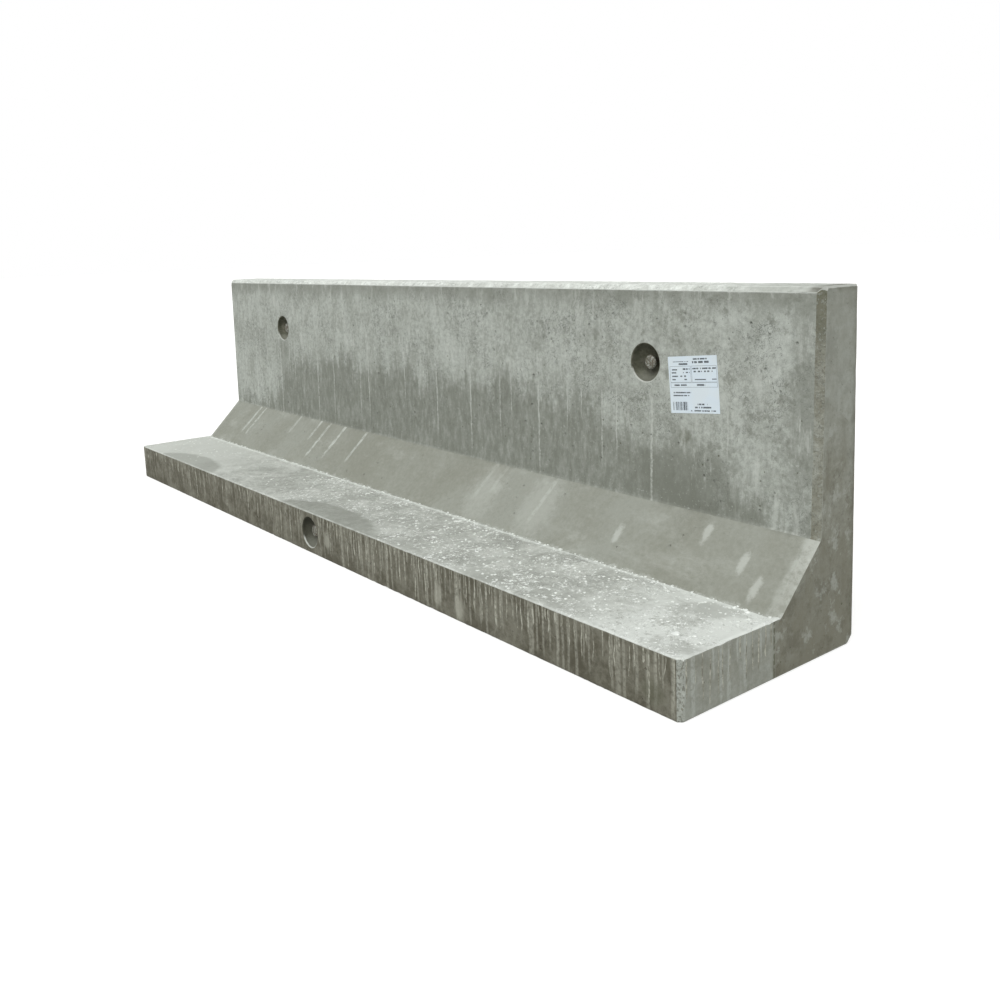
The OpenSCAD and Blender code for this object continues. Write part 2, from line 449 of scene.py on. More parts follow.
class Finish:
    """A material under way: its wiring, place on the object, colour, height and roughness."""

    def __init__(self, name):
        self.material = bpy.data.materials.new(name)
        self.material.use_nodes = True
        tree = self.material.node_tree
        tree.nodes.clear()
        self.w = Wiring(tree)
        self.shader = self.w.node("ShaderNodeBsdfPrincipled")
        outlet = self.w.node("ShaderNodeOutputMaterial")
        tree.links.new(self.shader.outputs[0], outlet.inputs["Surface"])
        self.place = self.w.node("ShaderNodeTexCoord").outputs["Object"]
        self.x, self.y, self.z = self.w.parts(self.place)
        self.colour = None
        self.height = None
        self.rough = 0.88

    def arris(self):
        named = self.w.node("ShaderNodeAttribute", attribute_name="arris")
        return named.outputs["Fac"]

    def skin(self, light, dark, patch=0.15, streak=0.4, contrast=1.0, grain=0.16, veins=0.3):
        placed = self.w.group(
            effects().skin, Position=self.place, Light=tint(light), Dark=tint(dark),
            Patch_size=patch, Streak_share=streak, Contrast=contrast, Grain=grain, Veins=veins,
        )
        self.colour = placed.outputs["Colour"]
        self.height = placed.outputs["Height"]

    def paint(self, mask, name, strength=1.0):
        """Lays a colour over the skin where the mask is."""
        share = self.w.times(mask, strength, clamp=True)
        self.colour = self.w.mix(share, self.colour, tint(name))

    def raise_by(self, mask, amount):
        self.height = self.w.plus(self.height, self.w.times(mask, amount))

    def noise(self, scale, *settings):
        return self.w.noise(self.place, scale, *settings)

    def drawn(self, stretch, *settings, scale=1.0):
        """Noise that is drawn out along one direction."""
        return self.w.noise(self.w.vector("MULTIPLY", self.place, stretch), scale, *settings)

    def wavy(self, value, amount, scale, *settings):
        """A value with a wandering error, for borders that aren't straight."""
        return self.w.plus(value, self.w.times(self.noise(scale, *settings), amount))

    def tide(self, level, ragged):
        """Damp concrete below a ragged level."""
        return self.w.group(effects().tide, Position=self.place, Height=self.z, Level=level,
                            Ragged=ragged, Soft=0.05).outputs["Damp"]

    def runs(self, across, down, spacing, width, reach, share, wobble=0.006):
        """Thin cement runs that trail down a face."""
        return self.w.group(effects().runs, Position=self.place, Across=across, Down=down,
                            Spacing=spacing, Width=width, Reach=reach, Share=share,
                            Wobble=wobble).outputs["Run"]

    def holes(self, spacing=0.016, share=0.3, size=0.2, depth=-1.6):
        placed = self.w.group(
            effects().holes, Position=self.place, Spacing=spacing, Share=share, Size=size,
        )
        hole = placed.outputs["Hole"]
        self.paint(hole, "moss", 0.75)
        self.raise_by(hole, depth)

    def wear(self, amount=0.5, name="lime", strength=0.7):
        placed = self.w.group(
            effects().wear, Position=self.place, Arris=self.arris(), Amount=amount,
        )
        self.paint(placed.outputs["Wear"], name, strength)

    def patch(self, across, up, half_width, half_height, ragged=0.3, scale=14.0, level=False,
              full=0.45, gone=1.25):
        """Mask of a soft patch on an upright face, or on a level one, along the wall."""
        return self.w.group(
            effects().patch, Position=self.place, Across=self.x, Up=self.y if level else self.z,
            Middle_across=across, Middle_up=up, Half_width=half_width, Half_height=half_height,
            Ragged=ragged, Scale=scale, Full=full, Gone=gone,
        ).outputs["Mask"]

    def close(self, bump=0.35, reach=0.0012):
        w = self.w
        w.feed(self.shader.inputs["Base Color"], self.colour)
        w.feed(self.shader.inputs["Roughness"], self.rough)
        self.shader.inputs["Specular IOR Level"].default_value = 0.3
        relief = w.fed(
            "ShaderNodeBump", {"Strength": bump, "Distance": reach, "Height": self.height},
        )
        w.feed(self.shader.inputs["Normal"], relief.outputs["Normal"])
        return self.material


def begin(name, *skin):
    """A finish that starts from a cement skin, and its wiring."""
    f = Finish(name)
    f.skin(*skin)
    return f, f.w


def stem_face_finish():
    f, w = begin("stem_face", "stem_light", "stem_dark", 0.09, 0.36, 1.1, 0.42, 0.55)
    ramp_in = w.spread(f.x, -1.20, -0.85)
    ramp_out = w.spread(f.x, 0.70, 1.25, 1.0, 0.0)
    level = w.plus(0.285, w.times(w.times(ramp_in, ramp_out), 0.225))
    tide = f.tide(level, 0.26)
    torn = w.spread(f.drawn((60.0, 60.0, 22.0), 5.0, 0.7), 0.35, 0.62, 0.62, 1.0)
    f.paint(w.times(tide, torn), "damp", 0.86)
    f.paint(f.patch(-1.0, 0.48, 0.05, 0.13, 0.45), "damp", 0.5)
    f.paint(f.patch(1.13, 0.33, 0.18, 0.13, 0.6), "damp", 0.75)
    f.paint(f.patch(1.46, 0.50, 0.05, 0.30, 0.7), "damp", 0.55)
    f.paint(f.patch(1.13, 0.445, 0.020, 0.020, 0.5, 40.0), "moss", 0.5)
    band = f.wavy(f.z, 0.10, 10.0, 5.0, 0.7)
    f.paint(w.spread(band, 0.765, 0.835), "damp", 0.55)
    blot = w.spread(f.noise(24.0, 6.0, 0.75), 0.53, 0.66)
    right = w.spread(f.x, 0.1, 1.1, 0.15, 0.85)
    f.paint(w.times(blot, right), "damp", 0.75)
    film = w.spread(f.drawn((30.0, 30.0, 9.0), 6.0, 0.72), 0.53, 0.68)
    dry = w.minus(1.0, w.times(tide, 0.6))
    f.paint(w.times(film, dry), "top_pale_with_painted_light", 0.42)
    fallen = w.minus(0.56, f.z)
    drips = f.runs(f.x, fallen, 0.062, 0.055, 0.30, 0.6, 0.010)
    f.paint(w.times(drips, w.spread(fallen, 0.0, 0.06)), "top_pale_with_painted_light", 0.6)
    fleck = w.spread(f.noise(130.0, 3.0, 0.7), 0.60, 0.70)
    low = w.spread(f.z, 0.50, 0.40)
    f.paint(w.times(fleck, low), "top_pale_with_painted_light", 0.4)
    f.holes(0.030, 0.55, 0.085)
    f.wear(0.25, "lime", 0.3)
    return f.close(0.5, 0.0018)


def haunch_finish():
    f, w = begin("haunch_face", "haunch_light", "haunch_dark", 0.30, 0.0, 1.0, 0.12, 0.15)
    s = sizes()
    haunch_top = s.base_thickness + s.haunch_rise
    bloom = w.spread(f.drawn((4.0, 9.0, 9.0), 6.0, 0.72), 0.52, 0.74)
    f.paint(bloom, "top_pale_with_painted_light", 0.28)
    for centre in (0.42, 0.66):
        f.paint(f.patch(centre, 0.20, 0.07, 0.08, 0.7, 30.0), "top_pale_with_painted_light", 0.22)
    for centre, height in ((1.23, 0.235), (1.36, 0.200), (1.42, 0.165), (0.98, 0.190)):
        f.paint(f.patch(centre, height, 0.012, 0.022, 0.6, 60.0), "top_pale_with_painted_light", 0.5)
    crest = f.wavy(f.z, 0.030, 26.0, 4.0)
    f.paint(w.spread(crest, 0.277, 0.289), "damp", 0.5)
    foot = w.minus(f.z, w.times(f.noise(34.0, 4.0, 0.7), 0.030))
    f.paint(w.spread(foot, 0.119, 0.112), "top_pale_with_painted_light", 0.4)
    lean = w.plus(f.x, w.times(w.minus(haunch_top, f.z), 0.13))
    lean = f.wavy(lean, 0.008, 40.0, 3.0)
    torn = w.spread(f.noise(70.0, 5.0, 0.7), 0.36, 0.56)
    for start, long, strength in DRIPS:
        stop = haunch_top - long * 0.70
        off = w.apart(lean, start + 0.004)
        wisp = w.times(w.spread(off, 0.0035, 0.0095, 1.0, 0.0), torn)
        f.paint(w.times(wisp, w.spread(f.z, stop - 0.01, stop + 0.01)), "top_pale_with_painted_light", strength)
    by_end = f.wavy(w.math("ABSOLUTE", f.x), 0.035, 45.0, 5.0, 0.7)
    up_slope = w.spread(f.z, 0.13, 0.24, 0.55, 1.0)
    patchy = w.spread(f.noise(48.0, 5.0, 0.72), 0.34, 0.56, 0.25, 1.0)
    band = w.times(w.spread(by_end, 1.482, 1.502), patchy)
    f.paint(w.times(band, up_slope), "top_pale_with_painted_light", 0.45)
    f.wear(0.02, "top_pale_with_painted_light", 0.6)
    f.holes(0.06, 0.25, 0.05)
    return f.close(0.35, 0.0013)


def base_top_finish():
    # Painted light: the base top's skin tones carry the extra light on an upward face, besides the
    # floated finish's own tone.
    f, w = begin("base_top", "top_pale_with_painted_light", "top_dark_with_painted_light", 0.12, 0.0, 0.9, 0.30, 0.30)
    far = w.times(f.noise(5.0, 5.0, 0.7), 0.7)
    f.paint(w.spread(w.plus(f.x, far), 1.30, 1.80), "lime", 0.9)
    f.paint(w.spread(w.minus(far, f.x), 0.9, 1.5), "top_pale_with_painted_light", 0.8)
    wet = w.spread(f.noise(6.0, 4.0), 0.50, 0.62)
    f.paint(w.times(wet, w.spread(f.x, -0.3, 0.1)), "top_dark_with_painted_light", 0.6)
    zone = w.spread(f.noise(7.0, 5.0, 0.7), 0.40, 0.56)
    zone = w.times(zone, w.spread(f.x, -0.9, 0.1, 0.15, 1.0))
    for centre, half in ((-1.02, 0.26), (0.08, 0.30)):
        patch = f.patch(centre, -0.30, half, 0.115, 0.15, 9.0, True, 0.88, 1.06)
        f.paint(patch, "damp", 0.45)
        zone = w.times(zone, w.minus(1.0, patch))
    pore = w.spread(f.noise(90.0, 4.0, 0.7), 0.38, 0.44, 1.0, 0.0)
    f.paint(w.times(pore, zone), "top_dark_with_painted_light", 0.7)
    for scale, low in ((52.0, 0.590), (105.0, 0.580)):
        fleck = w.spread(f.noise(scale, 5.0, 0.75, 0.6), low, low + 0.020)
        fleck = w.times(fleck, zone)
        f.paint(fleck, "crumb", 1.0)
        f.raise_by(fleck, 0.8)
    toe = f.wavy(f.y, 0.06, 42.0, 5.0, 0.75)
    f.paint(w.spread(toe, 0.014, 0.026), "lime", 0.7)
    f.wear(0.10, "lime", 0.6)
    f.raise_by(f.noise(30.0, 4.0), 0.8)
    return f.close(0.6, 0.0022)


def form_edge_finish():
    # The free edge's skin tones are partly its own form skin and partly painted shade.
    f, w = begin("free_edge", "edge_pale_with_painted_shade", "edge_dark_with_painted_shade", 0.10, 0.22, 1.0, 0.30, 0.3)
    blots = w.spread(f.drawn((9.0, 9.0, 14.0), 4.0), 0.52, 0.66)
    f.paint(blots, "edge_dark_with_painted_shade", 0.7)
    down = w.minus(sizes().base_thickness, f.z)
    faint = w.spread(f.drawn((52.0, 52.0, 20.0), 5.0, 0.68), 0.48, 0.66)
    upper = f.wavy(f.z, 0.06, 30.0, 3.0)
    faint = w.times(faint, w.spread(upper, 0.05, 0.14, 0.2, 1.0))
    f.paint(w.times(faint, w.spread(f.x, 0.5, -0.3, 0.25, 1.0)), "paste", 0.42)
    right = w.spread(f.x, -0.6, 0.6, 0.10, 0.55)
    for spacing, width, reach, share in ((0.021, 0.22, 0.16, 0.85), (0.047, 0.15, 0.20, 0.7)):
        run = f.runs(f.x, down, spacing, width, reach, share)
        f.paint(w.times(run, right), "paste", 0.8)
        f.raise_by(run, 0.4)
    for centre, height in ((0.11, 0.06), (0.69, 0.05), (0.78, 0.036)):
        f.paint(f.patch(centre, height, 0.020, 0.034, 0.5, 34.0), "paste", 0.55)
    f.paint(f.patch(1.43, 0.04, 0.03, 0.03, 0.5, 30.0), "moss", 0.5)
    rim = f.wavy(f.z, 0.022, 60.0, 4.0, 0.7)
    f.paint(w.spread(rim, 0.134, 0.145), "paste", 0.5)
    f.wear(0.10, "stem_light", 0.6)
    f.holes(0.03, 0.35, 0.09)
    return f.close(0.5, 0.0018)


def corner_finish():
    """Upright corner of the base: crumbled, with a line of open pores."""
    f, w = begin("base_corner", "stem_dark", "end_pale_with_painted_shade", 0.03, 0.0, 1.0, 0.4, 0.5)
    open_pores = w.spread(f.drawn((190.0, 190.0, 110.0), 3.0, 0.6), 0.53, 0.60)
    f.paint(open_pores, "edge_dark_with_painted_shade", 0.6)
    f.raise_by(open_pores, -1.0)
    pale = w.spread(f.noise(75.0, 4.0), 0.54, 0.64)
    f.paint(pale, "stem_light", 0.6)
    return f.close(0.5, 0.002)


def end_finish():
    # The end face's skin tones carry painted shade of the side turned from the light, besides the
    # form skin's own tone.
    f, w = begin("end_face", "end_pale_with_painted_shade", "end_dark_with_painted_shade", 0.07, 0.30, 0.9, 0.22, 0.30)
    rear = w.spread(f.wavy(f.y, 0.16, 7.0, 4.0), 0.10, 0.30)
    low = w.spread(f.wavy(f.z, 0.3, 6.0, 4.0), 0.75, 0.15)
    olive = w.plus(w.times(rear, 0.20), w.times(low, 0.80), clamp=True)
    behind = w.spread(f.y, -0.012, 0.012)
    f.paint(w.times(olive, behind), "end_dark_with_painted_shade", 0.9)
    drawn = w.vector("MULTIPLY", f.place, (12.0, 12.0, 11.0))
    stain = w.spread(w.noise(drawn, 1.0, 7.0, 0.74), 0.49, 0.62)
    f.paint(w.times(stain, behind), "edge_dark_with_painted_shade", 0.42)
    clean = w.spread(w.noise(drawn, 1.7, 6.0, 0.72), 0.47, 0.36)
    f.paint(w.times(clean, behind), "end_pale_with_painted_shade", 0.75)
    dry = w.spread(f.wavy(f.z, 0.3, 8.0, 4.0), 0.45, 0.80)
    f.paint(w.times(dry, behind), "stem_dark", 0.5)
    spot = w.spread(f.noise(60.0, 4.0, 0.7), 0.62, 0.68)
    f.paint(spot, "edge_dark_with_painted_shade", 0.5)
    in_front = w.minus(1.0, behind)
    f.paint(in_front, "end_pale_with_painted_shade", 0.4)
    down = w.minus(sizes().base_thickness, f.z)
    run = f.runs(f.y, down, 0.026, 0.24, 0.17, 0.8, 0.012)
    run = w.times(run, in_front)
    f.paint(run, "stem_light", 0.55)
    f.raise_by(run, 0.5)
    dashes = w.spread(f.noise(90.0, 2.0), 0.40, 0.52)
    seam = w.times(
        w.spread(w.math("ABSOLUTE", f.y), 0.0012, 0.0038, 1.0, 0.0), w.spread(f.z, 0.134, 0.124),
    )
    f.paint(w.times(seam, dashes), "moss", 0.8)
    crown = f.wavy(f.z, 0.05, 24.0, 4.0)
    f.paint(w.spread(crown, 0.805, 0.830), "moss", 0.5)
    f.paint(w.spread(f.wavy(f.y, 0.03, 30.0, 4.0), 0.278, 0.300), "edge_dark_with_painted_shade", 0.5)
    f.holes(0.030, 0.5, 0.09)
    f.wear(0.15, "stem_light", 0.5)
    return f.close(0.5, 0.0018)


def stem_chamfer_finish():
    f, w = begin("stem_chamfer", "end_pale_with_painted_shade", "end_dark_with_painted_shade", 0.05, 0.3, 1.0, 0.4, 0.4)
    wander = w.times(f.noise(26.0, 3.0), 0.06)
    high = w.spread(w.plus(f.z, wander), 0.66, 0.76)
    f.paint(high, "moss", 0.75)
    mid = w.spread(f.noise(14.0, 4.0), 0.42, 0.58)
    f.paint(mid, "end_dark_with_painted_shade", 0.5)
    crumbly = w.spread(f.noise(150.0, 3.0, 0.7), 0.54, 0.62)
    f.paint(crumbly, "stem_dark", 0.5)
    f.raise_by(crumbly, 1.0)
    open_pores = w.spread(f.noise(170.0, 2.0), 0.36, 0.42, 1.0, 0.0)
    f.paint(open_pores, "moss", 0.4)
    return f.close(0.6, 0.002)


def top_edge_finish():
    # The crown's pale skin is partly painted light, as on the base top, since it faces up.
    f, w = begin("stem_top", "lime", "top_pale_with_painted_light", 0.06, 0.0, 1.0, 0.36, 0.5)
    spots = w.spread(f.noise(60.0, 5.0, 0.72), 0.53, 0.64)
    f.paint(spots, "stem_light", 0.85)
    right = w.spread(f.wavy(f.x, 0.4, 14.0, 4.0), 1.30, 1.62)
    f.paint(right, "stem_dark", 0.6)
    corner = w.spread(f.wavy(f.x, 0.04, 40.0), 1.470, 1.505)
    f.paint(corner, "edge_dark_with_painted_shade", 0.7)
    f.raise_by(spots, -0.8)
    f.wear(0.4, "lime", 0.4)
    return f.close(0.5, 0.002)


def outer_finish():
    f, w = begin("outer_face", "stem_light", "stem_dark", 0.26, 0.25, 0.9, 0.16, 0.12)
    tide = f.tide(0.13, 0.22)
    f.paint(tide, "damp", 0.65)
    crown = f.wavy(f.z, 0.12, 12.0, 4.0)
    f.paint(w.spread(crown, 0.80, 0.87), "damp", 0.35)
    film = w.spread(f.drawn((14.0, 14.0, 2.5), 5.0, 0.65), 0.55, 0.72)
    f.paint(film, "top_pale_with_painted_light", 0.25)
    f.holes(0.035, 0.4, 0.08)
    f.wear(0.4, "lime", 0.45)
    return f.close(0.3, 0.0012)


def underside_finish():
    f = Finish("underside")
    f.skin("end_pale_with_painted_shade", "end_dark_with_painted_shade", 0.2, 0.0, 0.9, 0.2, 0.2)
    f.holes(0.03, 0.4, 0.1)
    return f.close(0.35, 0.0012)


def recess_finish():
    # The recess skin is painted dark as the shade inside a hollow; its lower half and lower rim are
    # painted paler as the light from above that falls into it.
    f, w = begin("recess", "end_dark_with_painted_shade", "moss", 0.03, 0.0, 1.0, 0.35, 0.4)
    # Painted shade, strongest in the front-edge recess and in patches in every recess.
    on_edge = w.spread(f.y, -0.15, -0.16)
    f.paint(on_edge, "painted_recess_shade", 0.7)
    f.paint(w.spread(f.noise(26.0, 3.0), 0.42, 0.58), "painted_recess_shade", 0.45)
    s = sizes()
    drop = s.recess_height - s.base_thickness / 2
    middle = w.minus(s.recess_height, w.times(on_edge, drop))
    ragged = w.times(w.minus(f.noise(60.0, 4.0, 0.7), 0.5), 0.030)
    below = w.plus(w.minus(middle, f.z), ragged)
    # Painted light on the lower half of each recess, below its middle.
    f.paint(w.spread(below, 0.014, 0.040), "haunch_dark", 0.50)
    # Painted highlight along the lower rim of each recess.
    lower_rim_highlight = w.times(w.spread(f.arris(), 0.15, 0.45), w.spread(below, 0.008, 0.030))
    f.paint(lower_rim_highlight, "top_pale_with_painted_light", 0.8)
    return f.close(0.6, 0.0018)


def paste_finish(name, colour_name, other):
    f = Finish(name)
    f.skin(colour_name, other, 0.02, 0.0, 1.1, 0.3, 0.2)
    return f.close(0.5, 0.0008)


def anchor_finish():
    f, w = begin("anchor_steel", "steel", "end_dark_with_painted_shade", 0.012, 0.0, 1.2, 0.35, 0.0)
    rust = w.spread(f.noise(140.0, 5.0, 0.7), 0.48, 0.58)
    f.paint(rust, "rust", 0.75)
    film = w.spread(f.noise(150.0, 5.0, 0.75, 0.8), 0.50, 0.58)
    f.paint(film, "stem_light", 0.75)
    bare = w.minus(1.0, w.plus(rust, film, clamp=True), clamp=True)
    w.feed(f.shader.inputs["Metallic"], w.times(bare, 0.6))
    f.rough = w.minus(0.85, w.times(bare, 0.35))
    return f.close(0.5, 0.0006)


# ---------------------------------------------------------------- printed sheet

def printed_line_group():
    """One line of unreadable small print: a row of short dashes between two margins."""
    tree, w, given, made = shader_group(
        "Printed line",
        {"Across": 0.0, "Up": 0.0, "Left": 0.1, "Right": 0.9,
         "Middle": 0.5, "Tall": 0.02, "Seed": 0.0},
        {"Ink": FLOAT},
    )
    off = w.apart(given["Up"], given["Middle"])
    row = w.math("LESS_THAN", off, w.times(given["Tall"], 0.5))
    begun = w.math("GREATER_THAN", given["Across"], given["Left"])
    ended = w.math("LESS_THAN", given["Across"], given["Right"])
    spot = w.combine(w.times(given["Across"], 46.0), given["Seed"], 0.0)
    words = w.math("GREATER_THAN", w.noise(spot, 0.55, 0.0), 0.40)
    strokes = w.noise(
        w.combine(w.times(given["Across"], 150.0), w.times(given["Up"], 110.0), given["Seed"]), 1.0,
        1.0,
    )
    letters = w.spread(strokes, 0.38, 0.50, 0.60, 1.0)
    ink = w.times(w.times(row, begun), w.times(ended, words))
    w.feed(made["Ink"], w.times(ink, letters))
    return tree


def ruled_box_group():
    """Thin ruled frame round a rectangle."""
    tree, w, given, made = shader_group(
        "Ruled box",
        {"Across": 0.0, "Up": 0.0, "Left": 0.1, "Right": 0.9,
         "Bottom": 0.1, "Top": 0.9, "Line": 0.004},
        {"Ink": FLOAT},
    )

    def half_off(value, low, high):
        middle = w.times(w.plus(low, high), 0.5)
        half = w.times(w.minus(high, low), 0.5)
        return w.minus(w.apart(value, middle), half)

    beyond = w.math("MAXIMUM", half_off(given["Across"], given["Left"], given["Right"]),
                    half_off(given["Up"], given["Bottom"], given["Top"]))
    near = w.math("ABSOLUTE", beyond)
    w.feed(made["Ink"], w.math("LESS_THAN", near, given["Line"]))
    return tree


def sheet_finish():
    f = Finish("delivery_sheet")
    w = f.w
    laid = w.node("ShaderNodeUVMap", uv_map="sheet")
    across, up, _ = w.parts(laid.outputs["UV"])
    cloud = f.noise(26.0, 3.0)
    f.colour = w.mix(w.spread(cloud, 0.35, 0.65, 0.0, 0.25), tint("paper"), tint("lime"))
    f.height = f.noise(14.0, 2.0)
    line_tree = printed_line_group()
    box_tree = ruled_box_group()
    lines = [
        (0.52, 0.80, 0.945, 0.026), (0.50, 0.86, 0.890, 0.036), (0.22, 0.42, 0.862, 0.030),
        (0.10, 0.42, 0.905, 0.012), (0.06, 0.18, 0.765, 0.022), (0.30, 0.44, 0.775, 0.030),
        (0.06, 0.16, 0.712, 0.022), (0.30, 0.44, 0.715, 0.022), (0.06, 0.28, 0.650, 0.022),
        (0.32, 0.44, 0.650, 0.026), (0.06, 0.14, 0.592, 0.022), (0.32, 0.42, 0.592, 0.022),
        (0.50, 0.97, 0.780, 0.026), (0.50, 0.90, 0.728, 0.026), (0.52, 0.76, 0.588, 0.018),
        (0.84, 0.97, 0.592, 0.018), (0.08, 0.36, 0.494, 0.026), (0.57, 0.74, 0.494, 0.030),
        (0.04, 0.44, 0.362, 0.022), (0.07, 0.40, 0.310, 0.022), (0.56, 0.76, 0.158, 0.028),
        (0.47, 0.83, 0.103, 0.028), (0.42, 0.92, 0.045, 0.022),
    ]
    ink = w.most([
        w.group(line_tree, Across=across, Up=up, Left=left, Right=right, Middle=middle,
                Tall=tall, Seed=3.7 * number).outputs["Ink"]
        for number, (left, right, middle, tall) in enumerate(lines)
    ])
    boxes = [(0.03, 0.46, 0.545, 0.825), (0.48, 0.98, 0.545, 0.825), (0.03, 0.98, 0.455, 0.535)]
    rules = w.most([
        w.group(box_tree, Across=across, Up=up, Left=left, Right=right, Bottom=bottom, Top=top,
                Line=0.0035).outputs["Ink"]
        for left, right, bottom, top in boxes
    ])
    bars = w.math(
        "GREATER_THAN", w.noise(w.combine(w.times(across, 70.0), 4.0, 0.0), 1.0, 1.0), 0.5,
    )
    for low, high, value in ((0.05, 0.36, across), (0.05, 0.20, up)):
        bars = w.times(bars, w.math("GREATER_THAN", value, low))
        bars = w.times(bars, w.math("LESS_THAN", value, high))
    f.paint(rules, "ink", 0.60)
    f.paint(ink, "ink", 1.0)
    f.paint(bars, "ink", 0.90)
    f.rough = 0.42
    f.shader.inputs["Coat Weight"].default_value = 0.25
    f.shader.inputs["Coat Roughness"].default_value = 0.25
    return f.close(0.25, 0.0015)


# ---------------------------------------------------------------- the wall's section

# Faces of the section in order, zones with a finish of their own, and samples across a face
FACES = ("edge", "top", "haunch", "stem", "bevel", "crown", "outer", "foot", "under")
ZONES = ("edge", "top", "haunch", "stem", "crown", "outer", "foot", "under", "end", "recess",
         "chamfer", "corner")
SAMPLES = {"edge": 34, "top": 40, "haunch": 28, "stem": 68, "bevel": 3, "crown": 13, "outer": 26,
           "foot": 2, "under": 4}
ROUNDINGS = (0.0030, 0.0035, 0.008, 0.010, 0.0030, 0.0030, 0.0040, 0.002, 0.002)
ARC_STEPS = 4

# Distances from an end at which the sweep has rings, and the pitch of the rings further in
NEAR_END = (0.0, 0.0025, 0.005, 0.0075, 0.010, 0.0125, 0.015, 0.018, 0.022, 0.030)
PITCH = 0.01


def section_corners():
    s = sizes()
    front, outer = LOW.y, HIGH.y
    foot_y = outer - s.stem_foot
    below_bevel = HIGH.z - s.top_bevel
    return [
        Vector((front, LOW.z)), Vector((front, s.base_thickness)),
        Vector((foot_y - s.haunch_run, s.base_thickness)),
        Vector((foot_y, s.base_thickness + s.haunch_rise)),
        Vector((stem_face_y(below_bevel), below_bevel)),
        Vector((outer - s.stem_top + s.top_bevel, HIGH.z)), Vector((outer, HIGH.z)),
        Vector((outer, s.foot_chamfer)), Vector((outer - s.foot_chamfer, LOW.z)),
    ]


def end_chamfers():
    s = sizes()
    return {
        "edge": s.base_chamfer, "top": 0.0035, "haunch": s.stem_chamfer, "stem": s.stem_chamfer,
        "bevel": 0.008, "crown": 0.004, "outer": s.outer_chamfer, "foot": 0.010, "under": 0.003,
    }


def inset_corners(corners, insets):
    """Moves every face of the section inwards by its own inset, and gives the new corners."""
    count = len(corners)
    lines = []
    for i, corner in enumerate(corners):
        along = (corners[(i + 1) % count] - corner).normalized()
        inward = Vector((along.y, -along.x))
        lines.append((inward, inward.dot(corner) + insets[i]))
    moved = []
    for i in range(count):
        (a, reach_a), (b, reach_b) = lines[i - 1], lines[i]
        cross = a.x * b.y - a.y * b.x
        moved.append(Vector(((reach_a * b.y - reach_b * a.y) / cross,
                             (a.x * reach_b - b.x * reach_a) / cross)))
    return moved


def section_outline(corners):
    """Points round the section with rounded corners: place, face, outward normal, arris share."""
    count = len(corners)
    points = []
    arcs = []
    for i, corner in enumerate(corners):
        into = (corner - corners[i - 1]).normalized()
        out = (corners[(i + 1) % count] - corner).normalized()
        half = into.angle(out) / 2
        trim = ROUNDINGS[i] * math.tan(half)
        start, stop = corner - into * trim, corner + out * trim
        centre = corner + (out - into).normalized() * (ROUNDINGS[i] / math.cos(half))
        turn = into.x * out.y - into.y * out.x
        arcs.append((start, stop, centre, 2 * half * (1 if turn > 0 else -1), turn < 0))
    for i, face in enumerate(FACES):
        start, stop, centre, turn, convex = arcs[i]
        spoke = start - centre
        side = 1.0 if convex else -1.0
        for k in range(ARC_STEPS):
            angle = turn * k / ARC_STEPS
            arm = Vector((spoke.x * math.cos(angle) - spoke.y * math.sin(angle),
                          spoke.x * math.sin(angle) + spoke.y * math.cos(angle)))
            points.append((centre + arm, face, arm.normalized() * side, convex))
        leave, arrive = stop, arcs[(i + 1) % count][0]
        along = (arrive - leave).normalized()
        outward = Vector((-along.y, along.x))
        for k in range(SAMPLES[face]):
            points.append((leave.lerp(arrive, k / SAMPLES[face]), face, outward, False))
    return points


def unevenness(point, face):
    """How far the real surface stands proud of the drawn one at a point."""
    if face in ("under", "foot"):
        return 0.0
    swell = noise.noise(point * 1.7) * 0.0007 + noise.noise(point * 9.0) * 0.00035
    swell += noise.noise(point * 48.0) * 0.00016
    if face == "top":
        swell += noise.noise(point * 13.0) * 0.0011 + noise.noise(point * 70.0) * 0.00045
    if face in ("edge", "end"):
        drawn = Vector((point.x * 90.0, point.y * 90.0, point.z * 7.0))
        swell += noise.noise(drawn) * 0.00035
    if face in ("crown", "bevel"):
        swell += noise.noise(point * 60.0) * 0.0006
    return swell


def stem_face_y(z):
    """Y of the stem's inner face at a height."""
    s = sizes()
    share = (z - s.base_thickness - s.haunch_rise) / (HIGH.z - s.base_thickness - s.haunch_rise)
    return HIGH.y - s.stem_foot + (s.stem_foot - s.stem_top) * share


def stem_lean():
    s = sizes()
    return math.atan2(s.stem_foot - s.stem_top, HIGH.z - s.base_thickness - s.haunch_rise)


def recess_frames():
    """Centre and outward direction of each lifting recess, with the face it is in."""
    s = sizes()
    lean = stem_lean()
    out = Vector((0.0, -math.cos(lean), math.sin(lean)))
    at_x = HIGH.x - s.recess_inset
    height = s.recess_height
    stem_y = stem_face_y(height)
    return {
        "stem_anchor_left": (Vector((-at_x, stem_y, height)), out, "stem"),
        "stem_anchor_right": (Vector((at_x, stem_y, height)), out, "stem"),
        "base_anchor": (Vector((0.0, LOW.y, s.base_thickness / 2)), Vector((0, -1, 0)), "edge"),
    }


